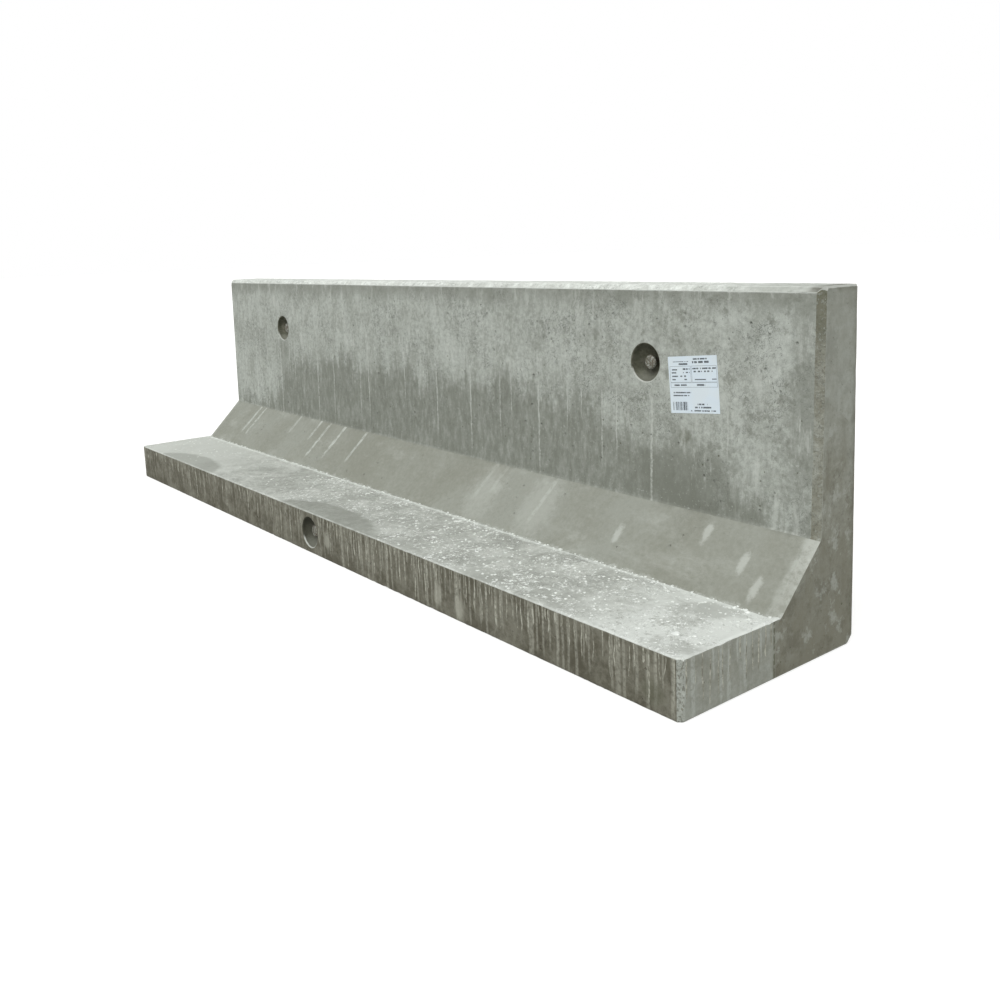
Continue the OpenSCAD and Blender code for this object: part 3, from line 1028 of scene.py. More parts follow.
class Casting:
    """The casting's skin: a sweep of the section along the wall, with dishes and end caps."""

    def __init__(self):
        self.points = []
        self.arris = []
        self.faces = []
        self.zones = []
        self.sweep()

    def add(self, point, arris=0.0):
        self.points.append(tuple(point))
        self.arris.append(arris)
        return len(self.points) - 1

    def panel(self, corners, zone):
        self.faces.append(tuple(corners))
        self.zones.append(zone)

    def sweep(self):
        reach = HIGH.x
        middle = round((reach - NEAR_END[-1] - PITCH) / PITCH)
        left = [(-reach + t, t) for t in NEAR_END]
        inner = [(PITCH * k, reach - abs(PITCH * k)) for k in range(-middle, middle + 1)]
        right = [(reach - t, t) for t in reversed(NEAR_END)]
        self.stations = left + inner + right
        chamfers = end_chamfers()
        corners = section_corners()
        rings = {}
        self.grid = []
        for x, depth in self.stations:
            key = round(min(depth, NEAR_END[-1]), 5)
            if key not in rings:
                insets = [max(0.0, chamfers[face] - key) for face in FACES]
                rings[key] = section_outline(inset_corners(corners, insets))
            self.grid.append([self.skin_point(x, depth, *sample) for sample in rings[key]])
        self.outline = rings[NEAR_END[-1]]
        self.face_of = [sample[1] for sample in self.outline]
        across = len(self.outline)
        starts = [self.face_of.index(face) for face in FACES]
        self.straight = {
            face: (starts[i] + ARC_STEPS, starts[i] + ARC_STEPS + SAMPLES[face])
            for i, face in enumerate(FACES)
        }
        self.taken = set()
        self.cut_recesses()
        self.press_holes()
        for i in range(len(self.stations) - 1):
            depth = min(self.stations[i][1], self.stations[i + 1][1])
            for j in range(across):
                if (i, j) in self.taken:
                    continue
                face = self.face_of[j]
                zone = "crown" if face == "bevel" else face
                if depth < chamfers[face] - 0.0001:
                    zone = {"stem": "chamfer", "edge": "corner"}.get(face, face)
                k = (j + 1) % across
                a, b = self.grid[i], self.grid[i + 1]
                self.panel((a[j], b[j], b[k], a[k]), zone)
        self.cap(0, -1.0)
        self.cap(len(self.stations) - 1, 1.0)

    def skin_point(self, x, depth, place, face, outward, convex):
        point = Vector((x, place.x, place.y))
        normal = Vector((0.0, outward.x, outward.y))
        worn = 1.0 if convex and face not in ("foot", "under") else 0.0
        by_end = math.exp(-((depth / 0.014) ** 2))
        closeness = max(worn, by_end)
        shift = unevenness(point, face)
        if worn or depth < 0.004:
            bite = max(0.0, noise.noise(point * 31.0) - 0.25) * 0.0045
            bite += max(0.0, noise.noise(point * 120.0)) * 0.0010
            shift -= bite if face != "under" else 0.0
        if face == "edge" and depth < 0.011:
            shift += noise.noise(point * 230.0) * 0.0007
        point += normal * shift
        point.z = max(point.z, LOW.z)
        return self.add(point, closeness)

    def dish(self, rows, columns, centre, out, rings, zone, lip_zone, worn=0.0):
        """Replaces a block of the sweep by rings that follow the block's outline to a bowl."""
        (i0, i1), (j0, j1) = rows, columns
        block = {(i, j) for i in range(i0, i1) for j in range(j0, j1)}
        if block & self.taken:
            return False
        self.taken |= block
        loop = [self.grid[i][j0] for i in range(i0, i1)]
        loop += [self.grid[i1][j] for j in range(j0, j1)]
        loop += [self.grid[i][j1] for i in range(i1, i0, -1)]
        loop += [self.grid[i0][j] for j in range(j1, j0, -1)]
        spokes = []
        for number in loop:
            arm = Vector(self.points[number]) - centre
            arm -= out * arm.dot(out)
            spokes.append(arm.normalized())
        last = loop
        for number, (radius, depth) in enumerate(rings):
            level = worn if number < 3 else 0.0
            ring = [self.add(centre + spoke * radius - out * depth, level) for spoke in spokes]
            for k in range(len(loop)):
                m = (k + 1) % len(loop)
                self.panel((last[k], last[m], ring[m], ring[k]), lip_zone if number == 0 else zone)
            last = ring
        hub = self.add(centre - out * rings[-1][1], 0.0)
        for k in range(len(loop)):
            self.panel((last[k], last[(k + 1) % len(loop)], hub), zone)
        return True

    def cut_recesses(self):
        radius = sizes().recess_radius
        rings = [(radius + 0.0022, 0.0), (radius + 0.0006, 0.0007), (radius - 0.0004, 0.0024)]
        for step in range(1, 15):
            angle = math.radians(6.0 * step)
            rings.append((radius * math.cos(angle), radius * math.sin(angle)))
        for centre, out, face in recess_frames().values():
            i = min(range(len(self.stations)), key=lambda n: abs(self.stations[n][0] - centre.x))
            low, high = self.straight[face]
            j = min(range(low, high), key=lambda n: abs(self.points[self.grid[i][n]][2] - centre.z))
            pitch = abs(self.points[self.grid[i][low + 1]][2] - self.points[self.grid[i][low]][2])
            reach = math.ceil((radius + 0.006) / pitch)
            self.dish((i - 6, i + 6), (j - reach, j + reach), centre, out, rings, "recess", face,
                      0.6)

    def press_holes(self):
        """Presses real air holes of 2 to 5 mm radius into the form faces."""
        dice = random.Random(12)
        wanted = {"stem": 260, "edge": 60, "outer": 70, "haunch": 40, "top": 60}
        for face, count in wanted.items():
            low, high = self.straight[face]
            for _ in range(count):
                i = dice.randrange(12, len(self.stations) - 13)
                j = dice.randrange(low + 3, high - 4)
                reach = dice.uniform(0.0016, 0.0045) * dice.uniform(0.6, 1.0)
                deep = reach * dice.uniform(0.7, 1.3)
                hub = Vector(self.points[self.grid[i + 1][j + 1]])
                sample = self.outline[j + 1]
                out = Vector((0.0, sample[2].x, sample[2].y))
                rings = [(reach * 1.15, 0.0), (reach * 0.9, deep * 0.55), (reach * 0.45, deep)]
                self.dish((i, i + 2), (j, j + 2), hub, out, rings, face, face)

    def cap(self, row, side):
        """Closes an end with a fine triangle mesh that carries the form seam below the toe."""
        loop = self.grid[row]
        rim = [Vector(self.points[n][1:]) for n in loop]
        chamfers = end_chamfers()
        margin = [chamfers[face] + 0.005 for face in FACES]
        inner = inset_corners(section_corners(), margin)
        dice = random.Random(5 + row)
        inside = []
        spacing = 0.0095
        for a in np.arange(LOW.y, HIGH.y, spacing):
            for b in np.arange(LOW.z, HIGH.z, spacing):
                spot = Vector((a + dice.uniform(-1, 1) * 0.002, b + dice.uniform(-1, 1) * 0.002))
                if within(spot, inner) and abs(spot.x) > 0.006:
                    inside.append(spot)
        for b in np.arange(0.008, sizes().base_thickness - 0.006, 0.004):
            inside += [Vector((offset, b)) for offset in (-0.0045, -0.0015, 0.0, 0.0015, 0.0045)]
        count = len(rim)
        edges = [(k, (k + 1) % count) for k in range(count)]
        filled = delaunay_2d_cdt(rim + inside, edges, [list(range(count))], 1, 1e-7)
        places, _, triangles, origins = filled[0], filled[1], filled[2], filled[3]
        numbers = []
        reach = self.stations[row][0]
        for place, origin in zip(places, origins):
            known = [n for n in origin if n < count]
            if known:
                numbers.append(loop[known[0]])
                continue
            spot = Vector((reach, place.x, place.y))
            swell = unevenness(spot, "end")
            seam = math.exp(-((place.x / 0.0022) ** 2)) if place.y < 0.125 else 0.0
            swell += seam * 0.0010 * (0.4 + noise.noise(spot * 160.0))
            numbers.append(self.add((reach + side * swell, place.x, place.y), 0.0))
        for triangle in triangles:
            self.panel([numbers[n] for n in triangle], "end")

    def mesh(self, name):
        made = bpy.data.meshes.new(name)
        made.from_pydata(self.points, [], self.faces)
        zone_of = {"bevel": "crown"}
        made.polygons.foreach_set(
            "material_index", [ZONES.index(zone_of.get(zone, zone)) for zone in self.zones])
        wear = made.attributes.new("arris", "FLOAT", "POINT")
        wear.data.foreach_set("value", self.arris)
        work = bmesh.new()
        work.from_mesh(made)
        return settled(work, made, 32)


def settled(work, made, sharp):
    """Writes worked faces into a mesh, turned outwards and smooth but for sharp edges."""
    bmesh.ops.recalc_face_normals(work, faces=work.faces)
    work.to_mesh(made)
    work.free()
    made.polygons.foreach_set("use_smooth", [True] * len(made.polygons))
    made.set_sharp_from_angle(angle=math.radians(sharp))
    made.update()
    return made


def within(spot, corners):
    """True where a point lies inside a closed outline."""
    odd = False
    for i, a in enumerate(corners):
        b = corners[i - 1]
        if (a.y > spot.y) != (b.y > spot.y):
            cut = (b.x - a.x) * (spot.y - a.y) / (b.y - a.y) + a.x
            if spot.x < cut:
                odd = not odd
    return odd


def place_piece(name, mesh, materials, node=None):
    """Adds a finished mesh to the scene as a piece that rides on the wall."""
    piece = bpy.data.objects.new(name, mesh)
    bpy.context.scene.collection.objects.link(piece)
    for material in materials:
        mesh.materials.append(material)
    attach(piece, "root")
    if node:
        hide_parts(node)


# ---------------------------------------------------------------- repeated pieces

def chance(w, low, high, seed, offset):
    """Random number for each point between two values."""
    placed = w.fed(
        "FunctionNodeRandomValue", {2: low, 3: high, "Seed": w.plus(seed, float(offset))},
        data_type="FLOAT",
    )
    return placed.outputs[1]


def crumb_tree():
    """Scatters flattened lumps of mixed size over a surface."""
    tree, w, given, made = geometry_tree(
        "Scattered crumbs",
        {"Density": FLOAT, "Smallest": FLOAT,
         "Largest": FLOAT, "Flatness": FLOAT,
         "Clumping": FLOAT, "Seed": WHOLE,
         "Material": MATERIAL},
    )
    where = w.node("GeometryNodeInputPosition").outputs[0]
    clump = w.spread(w.noise(where, 6.0, 3.0), 0.40, 0.62)
    open_share = w.minus(1.0, given["Clumping"])
    share = w.plus(open_share, w.times(clump, given["Clumping"]))
    scatter = w.fed(
        "GeometryNodeDistributePointsOnFaces",
        {
            "Mesh": given["Geometry"], "Density": w.times(given["Density"], share),
            "Seed": given["Seed"],
        },
        distribute_method="RANDOM",
    )
    lump = w.fed("GeometryNodeMeshIcoSphere", {"Radius": 0.5, "Subdivisions": 1})
    roll = chance(w, 0.0, 1.0, given["Seed"], 1)
    girth = w.math("POWER", roll, 3.0)
    span = w.minus(given["Largest"], given["Smallest"])
    size = w.plus(given["Smallest"], w.times(girth, span))
    long_side = w.times(size, chance(w, 0.7, 1.5, given["Seed"], 2))
    tall = w.times(size, given["Flatness"])
    spin = w.fed(
        "FunctionNodeAxisAngleToRotation",
        {"Axis": (0.0, 0.0, 1.0), "Angle": chance(w, 0.0, 6.283, given["Seed"], 3)},
    )
    turned = w.fed(
        "FunctionNodeRotateRotation", {0: scatter.outputs["Rotation"], 1: spin.outputs[0]},
        rotation_space="LOCAL",
    )
    laid = w.fed(
        "GeometryNodeInstanceOnPoints",
        {
            "Points": scatter.outputs["Points"], "Instance": lump.outputs["Mesh"],
            "Rotation": turned.outputs[0], "Scale": w.combine(long_side, size, tall),
        },
    )
    real = w.fed("GeometryNodeRealizeInstances", {0: laid.outputs[0]})
    ragged = w.fed("GeometryNodeSetPosition", {"Geometry": real.outputs[0]})
    texture = w.fed("ShaderNodeTexNoise", {"Vector": where, "Scale": 260.0, "Detail": 1.0})
    centred = w.vector("SUBTRACT", texture.outputs["Color"], (0.5, 0.5, 0.5))
    amount = w.times(given["Largest"], 0.30)
    pushed = w.fed("ShaderNodeVectorMath", {0: centred, "Scale": amount}, operation="SCALE")
    w.feed(ragged.inputs["Offset"], pushed.outputs[0])
    finished(w, ragged.outputs[0], given, made)
    return tree


def run_tree():
    """Hangs tapering cement runs of mixed length from a line of points."""
    tree, w, given, made = geometry_tree(
        "Hanging runs",
        {"Count": WHOLE, "Shortest": FLOAT,
         "Longest": FLOAT, "Width": FLOAT,
         "Proud": FLOAT, "Jitter": FLOAT,
         "Wobble": FLOAT, "Along": VECTOR,
         "Turn": VECTOR, "Seed": WHOLE,
         "Material": MATERIAL},
    )
    line = w.fed("GeometryNodeMeshToCurve", {"Mesh": given["Geometry"]})
    spaced = w.fed("GeometryNodeResampleCurve", {"Curve": line.outputs[0], "Count": given["Count"]})
    shifted = w.fed("GeometryNodeSetPosition", {"Geometry": spaced.outputs[0]})
    step = w.fed("ShaderNodeVectorMath", {0: given["Along"]}, operation="SCALE")
    lean = chance(w, -0.5, 0.5, given["Seed"], 1)
    w.feed(step.inputs["Scale"], w.times(lean, given["Jitter"]))
    w.feed(shifted.inputs["Offset"], step.outputs[0])
    drop = w.fed("GeometryNodeMeshUVSphere", {"Segments": 8, "Rings": 10, "Radius": 0.5})
    hung = w.fed(
        "GeometryNodeTransform",
        {"Geometry": drop.outputs["Mesh"], "Translation": (0.0, 0.0, -0.5)},
    )
    roll = w.math("POWER", chance(w, 0.0, 1.0, given["Seed"], 2), 1.4)
    span = w.minus(given["Longest"], given["Shortest"])
    length = w.plus(given["Shortest"], w.times(roll, span))
    girth = w.times(given["Width"], chance(w, 0.5, 1.4, given["Seed"], 3))
    laid = w.fed(
        "GeometryNodeInstanceOnPoints",
        {
            "Points": shifted.outputs[0], "Instance": hung.outputs[0], "Rotation": given["Turn"],
            "Scale": w.combine(girth, given["Proud"], length),
        },
    )
    real = w.fed("GeometryNodeRealizeInstances", {0: laid.outputs[0]})
    swayed = w.fed("GeometryNodeSetPosition", {"Geometry": real.outputs[0]})
    where = w.node("GeometryNodeInputPosition").outputs[0]
    sway = w.minus(w.noise(where, 34.0, 2.0), 0.5)
    push = w.fed(
        "ShaderNodeVectorMath", {0: given["Along"], "Scale": w.times(sway, given["Wobble"])},
        operation="SCALE",
    )
    w.feed(swayed.inputs["Offset"], push.outputs[0])
    finished(w, swayed.outputs[0], given, made)
    return tree


def finished(w, geometry, given, made):
    """Ends a geometry tree with its material."""
    painted = w.fed(
        "GeometryNodeSetMaterial", {"Geometry": geometry, "Material": given["Material"]},
    )
    w.feed(made[0], painted.outputs[0])


def grown(name, guide, tree, material, **values):
    """Runs a geometry tree over a guide mesh and gives the plain mesh it makes."""
    holder = bpy.data.objects.new(name + "_guide", guide)
    bpy.context.scene.collection.objects.link(holder)
    modifier = holder.modifiers.new(name, "NODES")
    modifier.node_group = tree
    values["Material"] = material
    for item in tree.interface.items_tree:
        key = item.name
        if item.in_out == "INPUT" and key in values:
            modifier[item.identifier] = values[key]
    bpy.context.view_layer.update()
    graph = bpy.context.evaluated_depsgraph_get()
    made = bpy.data.meshes.new_from_object(holder.evaluated_get(graph))
    made.name = name
    holder.modifiers.remove(modifier)
    bpy.data.objects.remove(holder)
    made.materials.clear()
    return made


def strip(corners):
    """A flat four-cornered guide surface."""
    guide = bpy.data.meshes.new("guide")
    guide.from_pydata([tuple(c) for c in corners], [], [(0, 1, 2, 3)])
    guide.update()
    return guide


def slope(left, right, near, far, low, high):
    """A guide surface along the wall, from a near edge up to a far one."""
    return strip([(left, near, low), (right, near, low), (right, far, high), (left, far, high)])


def rail(points):
    """A guide line through points."""
    guide = bpy.data.meshes.new("rail")
    guide.from_pydata([tuple(p) for p in points], [(k, k + 1) for k in range(len(points) - 1)], [])
    guide.update()
    return guide


def joined(name, meshes):
    """One mesh out of several."""
    work = bmesh.new()
    for mesh in meshes:
        work.from_mesh(mesh)
    made = bpy.data.meshes.new(name)
    work.to_mesh(made)
    work.free()
    return made


# ---------------------------------------------------------------- operators

class WALL_OT_casting(bpy.types.Operator):
    """Make the concrete casting with its recesses, air holes and worn arrises"""
    bl_idname = "wall.casting"
    bl_label = "Concrete casting"

    def execute(self, context):
        finishes = {
            "edge": form_edge_finish(), "top": base_top_finish(), "haunch": haunch_finish(),
            "stem": stem_face_finish(), "crown": top_edge_finish(), "outer": outer_finish(),
            "foot": underside_finish(), "end": end_finish(), "recess": recess_finish(),
            "chamfer": stem_chamfer_finish(), "corner": corner_finish(),
        }
        finishes["under"] = finishes["foot"]
        mesh = Casting().mesh("wall_casting")
        place_piece("wall_casting", mesh, [finishes[zone] for zone in ZONES], "wall_body")
        return {"FINISHED"}


class WALL_OT_anchors(bpy.types.Operator):
    """Make the three forged lifting anchors in their recesses"""
    bl_idname = "wall.anchors"
    bl_label = "Lifting anchors"

    def execute(self, context):
        s = sizes()
        finish = anchor_finish()
        for node, (centre, out, _) in recess_frames().items():
            length = s.base_anchor if node == "base_anchor" else s.stem_anchor
            mesh = self.turned(node, centre, out, length)
            place_piece(node + "_forging", mesh, [finish], node)
        return {"FINISHED"}

    def turned(self, name, centre, out, length):
        """Anchor turned about its axis, with a domed head and rounded edges."""
        s = sizes()
        head, shank, foot = s.head_diameter / 2, s.shank_diameter / 2, s.foot_diameter / 2
        outline = [(0.0, 0.0004), (head * 0.30, 0.0), (head * 0.62, 0.0001), (head * 0.80, 0.0006)]
        outline += [(head * 0.93, 0.0017), (head, 0.0040), (head, 0.0056), (head * 0.965, 0.0070)]
        outline += [(head * 0.80, 0.0092), (shank * 1.12, 0.0132), (shank, 0.0155)]
        outline += [(shank, length - 0.015), (shank * 1.3, length - 0.012)]
        outline += [(foot * 0.94, length - 0.0055), (foot, length - 0.0045)]
        outline += [(foot, length - 0.001), (foot * 0.97, length), (0.0, length)]
        side = out.orthogonal().normalized()
        other = out.cross(side)
        steps = 48
        work = bmesh.new()
        rings = []
        for radius, down in outline:
            base = centre - out * (s.head_depth + down)
            if radius == 0.0:
                rings.append([work.verts.new(base)])
                continue
            ring = []
            for k in range(steps):
                angle = 2 * math.pi * k / steps
                arm = side * math.cos(angle) + other * math.sin(angle)
                spot = base + arm * radius
                hammered = noise.noise(spot * 190.0) * 0.00025 if radius <= head else 0.0
                ring.append(work.verts.new(spot + arm * hammered))
            rings.append(ring)
        for upper, lower in zip(rings, rings[1:]):
            for k in range(steps):
                m = (k + 1) % steps
                corners = [upper[k % len(upper)], upper[m % len(upper)],
                           lower[m % len(lower)], lower[k % len(lower)]]
                unique = list(dict.fromkeys(corners))
                work.faces.new(unique)
        return settled(work, bpy.data.meshes.new(name), 50)


class WALL_OT_sheet(bpy.types.Operator):
    """Make the printed delivery sheet on the stem"""
    bl_idname = "wall.sheet"
    bl_label = "Delivery sheet"

    def execute(self, context):
        s = sizes()
        lean = stem_lean()
        out = Vector((0.0, -math.cos(lean), math.sin(lean)))
        up = Vector((0.0, math.sin(lean), math.cos(lean)))
        turn = Matrix.Rotation(-s.sheet_turn, 3, Vector((0, 1, 0)))
        centre_x = HIGH.x - s.sheet_inset
        centre = Vector((centre_x, stem_face_y(s.sheet_level), s.sheet_level))
        columns, rows = 30, 27
        work = bmesh.new()
        laid = work.loops.layers.uv.new("sheet")
        sides = []
        for proud in (s.sheet_thickness, 0.00008):
            grid = []
            for r in range(rows + 1):
                line = []
                for c in range(columns + 1):
                    u, v = c / columns, r / rows
                    flat = turn @ Vector(((u - 0.5) * s.sheet_width, 0, (v - 0.5) * s.sheet_height))
                    spot = centre + Vector((flat.x, 0, 0)) + up * flat.z
                    lift = max(0.0, unevenness(spot, "stem")) + proud
                    lift += 0.0005 * self.curl(u, v) + 0.00025 * noise.noise(spot * 22.0)
                    line.append(work.verts.new(spot + out * max(lift, proud)))
                grid.append(line)
            sides.append(grid)
        for number, grid in enumerate(sides):
            for r in range(rows):
                for c in range(columns):
                    face = work.faces.new((grid[r][c], grid[r][c + 1], grid[r + 1][c + 1],
                                           grid[r + 1][c]))
                    for loop, (du, dv) in zip(face.loops, ((0, 0), (1, 0), (1, 1), (0, 1))):
                        inside = number == 0
                        loop[laid].uv = ((c + du) / columns, (r + dv) / rows) if inside else (0, 0)
        rim = self.rim(rows, columns)
        front, back = sides
        for (r, c), (n, m) in zip(rim, rim[1:] + rim[:1]):
            work.faces.new((front[r][c], front[n][m], back[n][m], back[r][c]))
        mesh = settled(work, bpy.data.meshes.new("delivery_sheet_print"), 40)
        place_piece("delivery_sheet_print", mesh, [sheet_finish()], "delivery_sheet")
        return {"FINISHED"}

    def curl(self, u, v):
        """Slight lift of the corners."""
        corner = max(abs(u - 0.5), abs(v - 0.5)) * 2
        both = min(abs(u - 0.5), abs(v - 0.5)) * 2
        return max(0.0, corner - 0.8) * 5 * both * both

    def rim(self, rows, columns):
        path = [(0, c) for c in range(columns)]
        path += [(r, columns) for r in range(rows)]
        path += [(rows, c) for c in range(columns, 0, -1)]
        path += [(r, 0) for r in range(rows, 0, -1)]
        return path


class WALL_OT_runs(bpy.types.Operator):
    """Make the dried cement runs on the free edge, the ends and the haunch"""
    bl_idname = "wall.runs"
    bl_label = "Cement runs"

    def execute(self, context):
        s = sizes()
        tree = run_tree()
        paste = paste_finish("cement_run", "paste", "edge_pale_with_painted_shade")
        top = s.base_thickness - 0.003
        made = []
        clear = s.recess_radius + 0.010
        for number, (first, last) in enumerate(((LOW.x + 0.02, -clear), (clear, HIGH.x - 0.018))):
            thick = (0.0011, 0.0016)[number]
            gap = s.run_spacing * (1.8, 1.0)[number]
            edge = rail([(first, LOW.y, top), (last, LOW.y, top)])
            made.append(grown(
                "edge_runs", edge, tree, paste, Count=round((last - first) / gap),
                Shortest=0.022, Longest=0.122, Width=0.0048, Proud=thick, Jitter=0.012,
                Wobble=0.016, Along=(1.0, 0.0, 0.0), Turn=(0.0, 0.0, 0.0), Seed=4 + number,
            ))
        for side in (LOW.x, HIGH.x):
            end = rail([(side, LOW.y + 0.016, top), (side, -0.006, top)])
            made.append(grown(
                "end_runs", end, tree, paste, Count=13, Shortest=0.04, Longest=0.124,
                Width=0.0042, Proud=0.0014, Jitter=0.018, Wobble=0.010,
                Along=(0.0, 1.0, 0.0), Turn=(0.0, 0.0, math.pi / 2), Seed=9,
            ))
        place_piece("cement_runs", joined("cement_runs", made), [paste])
        self.haunch_runs(tree)
        return {"FINISHED"}

    def haunch_runs(self, tree):
        """Single drips that ran down the haunch from its top edge."""
        s = sizes()
        slope = math.atan2(s.haunch_run, s.haunch_rise)
        pale = paste_finish("haunch_run", "stem_light", "haunch_light")
        foot_y = HIGH.y - s.stem_foot
        start = s.base_thickness + s.haunch_rise
        made = []
        for number, (x, long, strength) in enumerate(DRIPS):
            if strength < 0.5:
                continue
            made.append(grown(
                "drip", rail([(x, foot_y, start), (x + 0.0001, foot_y, start)]), tree, pale, Count=1,
                Shortest=long, Longest=long, Width=0.0090, Proud=0.0010, Jitter=0.0,
                Wobble=0.008, Along=(1.0, 0.0, 0.0), Turn=(-slope, 0.12, 0.0), Seed=number,
            ))
        place_piece("haunch_drips", joined("haunch_drips", made), [pale])


class WALL_OT_crumbs(bpy.types.Operator):
    """Make the cement crumbs on the base, the crust along the toe and the rough arrises"""
    bl_idname = "wall.crumbs"
    bl_label = "Crumbs and crust"

    def execute(self, context):
        s = sizes()
        tree = crumb_tree()
        white = paste_finish("crumb_white", "crumb", "lime")
        grey = paste_finish("arris_crumb", "end_pale_with_painted_shade", "end_dark_with_painted_shade")
        level = s.base_thickness
        toe = HIGH.y - s.stem_foot - s.haunch_run
        spread = []
        front = LOW.y + 0.012
        for first, last, near, density in (
            (LOW.x + 0.02, -0.40, front, 900.0), (-0.40, 0.40, front + 0.10, 6500.0),
            (0.40, HIGH.x - 0.02, front, 7500.0),
        ):
            floor = slope(first, last, near, toe - 0.004, level, level)
            spread.append(grown("crumbs", floor, tree, white, Density=density, Smallest=0.0012,
                                Largest=s.crumb_size, Flatness=0.30, Clumping=0.9, Seed=3))
        bead = slope(LOW.x + 0.01, HIGH.x - 0.01, toe - 0.012, toe + 0.002, level, level + 0.001)
        crust = grown("crust", bead, tree, white, Density=22000.0, Smallest=0.0015,
                      Largest=0.009, Flatness=0.30, Clumping=0.97, Seed=8)
        place_piece("base_crumbs", joined("base_crumbs", [*spread, crust]), [white])
        made = []
        back = s.base_chamfer
        for side in (LOW.x, HIGH.x):
            into = back if side < 0 else -back
            front = strip([(side + into, LOW.y + 0.0005, 0.006), (side, LOW.y + back, 0.006),
                           (side, LOW.y + back, level - 0.006),
                           (side + into, LOW.y + 0.0005, level - 0.006)])
            made.append(grown("corner", front, tree, grey, Density=26000.0, Smallest=0.0012,
                              Largest=0.0055, Flatness=0.45, Clumping=0.2, Seed=6))
            into = s.stem_chamfer if side < 0 else -s.stem_chamfer
            low, high = level + s.haunch_rise + 0.01, HIGH.z - 0.01
            rise = strip([(side + into * 0.25, stem_face_y(low) + s.stem_chamfer * 0.75, low),
                          (side + into * 0.05, stem_face_y(low) + s.stem_chamfer * 0.95, low),
                          (side + into * 0.05, stem_face_y(high) + s.stem_chamfer * 0.95, high),
                          (side + into * 0.25, stem_face_y(high) + s.stem_chamfer * 0.75, high)])
            made.append(grown("rise", rise, tree, grey, Density=24000.0, Smallest=0.001,
                              Largest=0.004, Flatness=0.45, Clumping=0.2, Seed=7))
        place_piece("arris_crumbs", joined("arris_crumbs", made), [grey])
        return {"FINISHED"}


# Camera: where it stands, how it is turned in radians, its lens, its sensor and its shift
EYE = Vector((2.6926, -1.5978, 0.9078))
BEARING, DIP, ROLL = -0.89546, -0.16193, -0.03676
LENS, SENSOR = 35.677, 36.0
SHIFT = (-0.02144, -0.09392)

# Lamps: name, direction of the light's source and level
LAMPS = (("key_light", (0.25, -0.62, 0.72), 0.72), ("side_light", (0.80, -0.15, 0.60), 0.25),
         ("rear_light", (-0.45, 0.80, 0.40), 0.18))
LAMP_SPREAD = 60.0

# Surroundings: level of the world as it lights the wall and as it is seen, and the floor
WORLD_LEVEL, SEEN_LEVEL = 0.45, 1.0
FLOOR_REACH, FLOOR_GLOW = 60.0, 0.56
FLOOR_TONE = (0.52, 0.52, 0.51, 1.0)
WHITE = (1.0, 1.0, 1.0, 1.0)


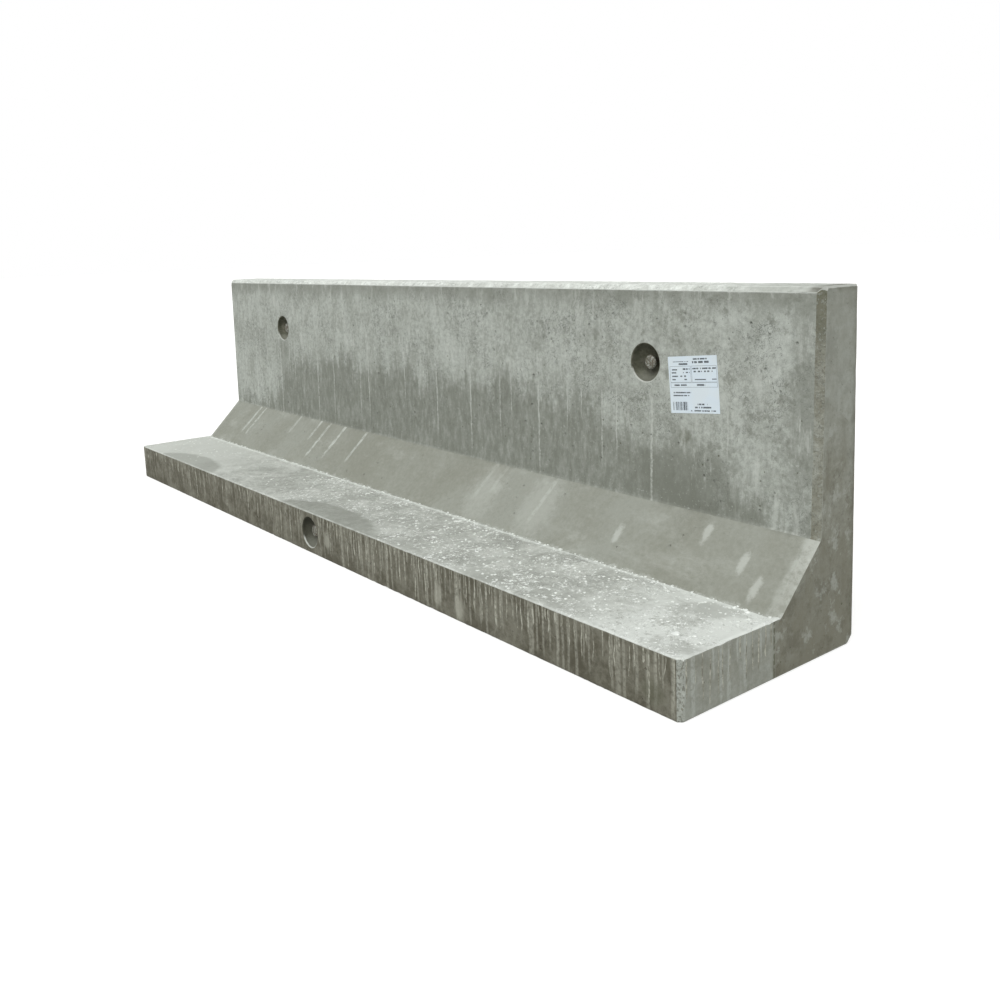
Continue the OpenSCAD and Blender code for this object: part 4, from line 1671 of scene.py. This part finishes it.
class WALL_OT_stage(bpy.types.Operator):
    """Set up the pale floor, the soft lights and the camera"""
    bl_idname = "wall.stage"
    bl_label = "Floor, lights and camera"

    def execute(self, context):
        context.scene.view_settings.view_transform = "Standard"
        self.floor()
        self.backdrop(context.scene)
        for settings in LAMPS:
            self.lamp(*settings)
        self.camera(context.scene)
        return {"FINISHED"}

    def floor(self):
        reach = FLOOR_REACH
        mesh = bpy.data.meshes.new("floor")
        mesh.from_pydata([(-reach, -reach, 0), (reach, -reach, 0), (reach, reach, 0),
                          (-reach, reach, 0)], [], [(0, 1, 2, 3)])
        floor = bpy.data.objects.new("floor", mesh)
        bpy.context.scene.collection.objects.link(floor)
        material = bpy.data.materials.new("floor_white")
        material.use_nodes = True
        tree = material.node_tree
        w = Wiring(tree)
        shader = tree.nodes["Principled BSDF"]
        shader.inputs["Base Color"].default_value = FLOOR_TONE
        shader.inputs["Roughness"].default_value = 0.95
        shader.inputs["Specular IOR Level"].default_value = 0.1
        glow = w.node("ShaderNodeEmission")
        path = w.node("ShaderNodeLightPath")
        glow.inputs["Color"].default_value = WHITE
        w.feed(glow.inputs["Strength"], w.times(path.outputs["Is Camera Ray"], FLOOR_GLOW))
        both = w.node("ShaderNodeAddShader")
        tree.links.new(shader.outputs[0], both.inputs[0])
        tree.links.new(glow.outputs[0], both.inputs[1])
        tree.links.new(both.outputs[0], tree.nodes["Material Output"].inputs["Surface"])
        mesh.materials.append(material)

    def backdrop(self, scene):
        world = bpy.data.worlds.new("pale_world")
        scene.world = world
        world.use_nodes = True
        tree = world.node_tree
        w = Wiring(tree)
        path = w.node("ShaderNodeLightPath")
        seen = w.math("MAXIMUM", path.outputs["Is Camera Ray"], path.outputs["Is Glossy Ray"])
        seen = w.math("MAXIMUM", seen, path.outputs["Is Transmission Ray"])
        back = tree.nodes["Background"]
        back.inputs["Color"].default_value = WHITE
        strength = w.plus(w.times(seen, SEEN_LEVEL - WORLD_LEVEL), WORLD_LEVEL)
        w.feed(back.inputs["Strength"], strength)

    def lamp(self, name, toward, level):
        """Wide, soft light from a direction; level 1 shows a face turned to it as painted."""
        data = bpy.data.lights.new(name, "SUN")
        data.energy = level * math.pi
        data.angle = math.radians(LAMP_SPREAD)
        lamp = bpy.data.objects.new(name, data)
        bpy.context.scene.collection.objects.link(lamp)
        lamp.rotation_euler = Vector(toward).to_track_quat("Z", "Y").to_euler()

    def camera(self, scene):
        """Camera a little above the wall, near its right end, looking along it."""
        ahead = Vector(
            (math.sin(BEARING) * math.cos(DIP), math.cos(BEARING) * math.cos(DIP), math.sin(DIP))
        )
        right = ahead.cross(Vector((0, 0, 1))).normalized()
        up = right.cross(ahead)
        right, up = (right * math.cos(ROLL) + up * math.sin(ROLL),
                     up * math.cos(ROLL) - right * math.sin(ROLL))
        data = bpy.data.cameras.new("camera")
        data.sensor_width = SENSOR
        data.lens = LENS
        data.shift_x, data.shift_y = SHIFT
        data.clip_end = 200.0
        camera = bpy.data.objects.new("camera", data)
        scene.collection.objects.link(camera)
        turned = Matrix((right, up, -ahead)).transposed().to_4x4()
        camera.matrix_world = Matrix.Translation(EYE) @ turned
        scene.camera = camera


class WALL_PT_panel(bpy.types.Panel):
    """Lists the steps that make the wall"""
    bl_idname = "WALL_PT_panel"
    bl_label = "Retaining wall element"
    bl_space_type = "VIEW_3D"
    bl_region_type = "UI"
    bl_category = "Wall"

    def draw(self, context):
        for step in STEPS:
            self.layout.operator(step.bl_idname)
        for group in (context.scene.wall_sizes, context.scene.wall_colours):
            box = self.layout.box()
            for name in group.__annotations__:
                box.prop(group, name)


STEPS = (
    WALL_OT_stage, WALL_OT_casting, WALL_OT_anchors, WALL_OT_sheet, WALL_OT_runs, WALL_OT_crumbs,
)
CLASSES = (WallSizes, WallColours, *STEPS, WALL_PT_panel)


def register():
    for kind in CLASSES:
        bpy.utils.register_class(kind)
    bpy.types.Scene.wall_sizes = bpy.props.PointerProperty(type=WallSizes)
    bpy.types.Scene.wall_colours = bpy.props.PointerProperty(type=WallColours)


def unregister():
    del bpy.types.Scene.wall_sizes
    del bpy.types.Scene.wall_colours
    for kind in reversed(CLASSES):
        bpy.utils.unregister_class(kind)


def main():
    register()
    bpy.ops.wall.stage()
    bpy.ops.wall.casting()
    bpy.ops.wall.anchors()
    bpy.ops.wall.sheet()
    bpy.ops.wall.runs()
    bpy.ops.wall.crumbs()
    bpy.context.view_layer.update()


if __name__ == "__main__":
    main()
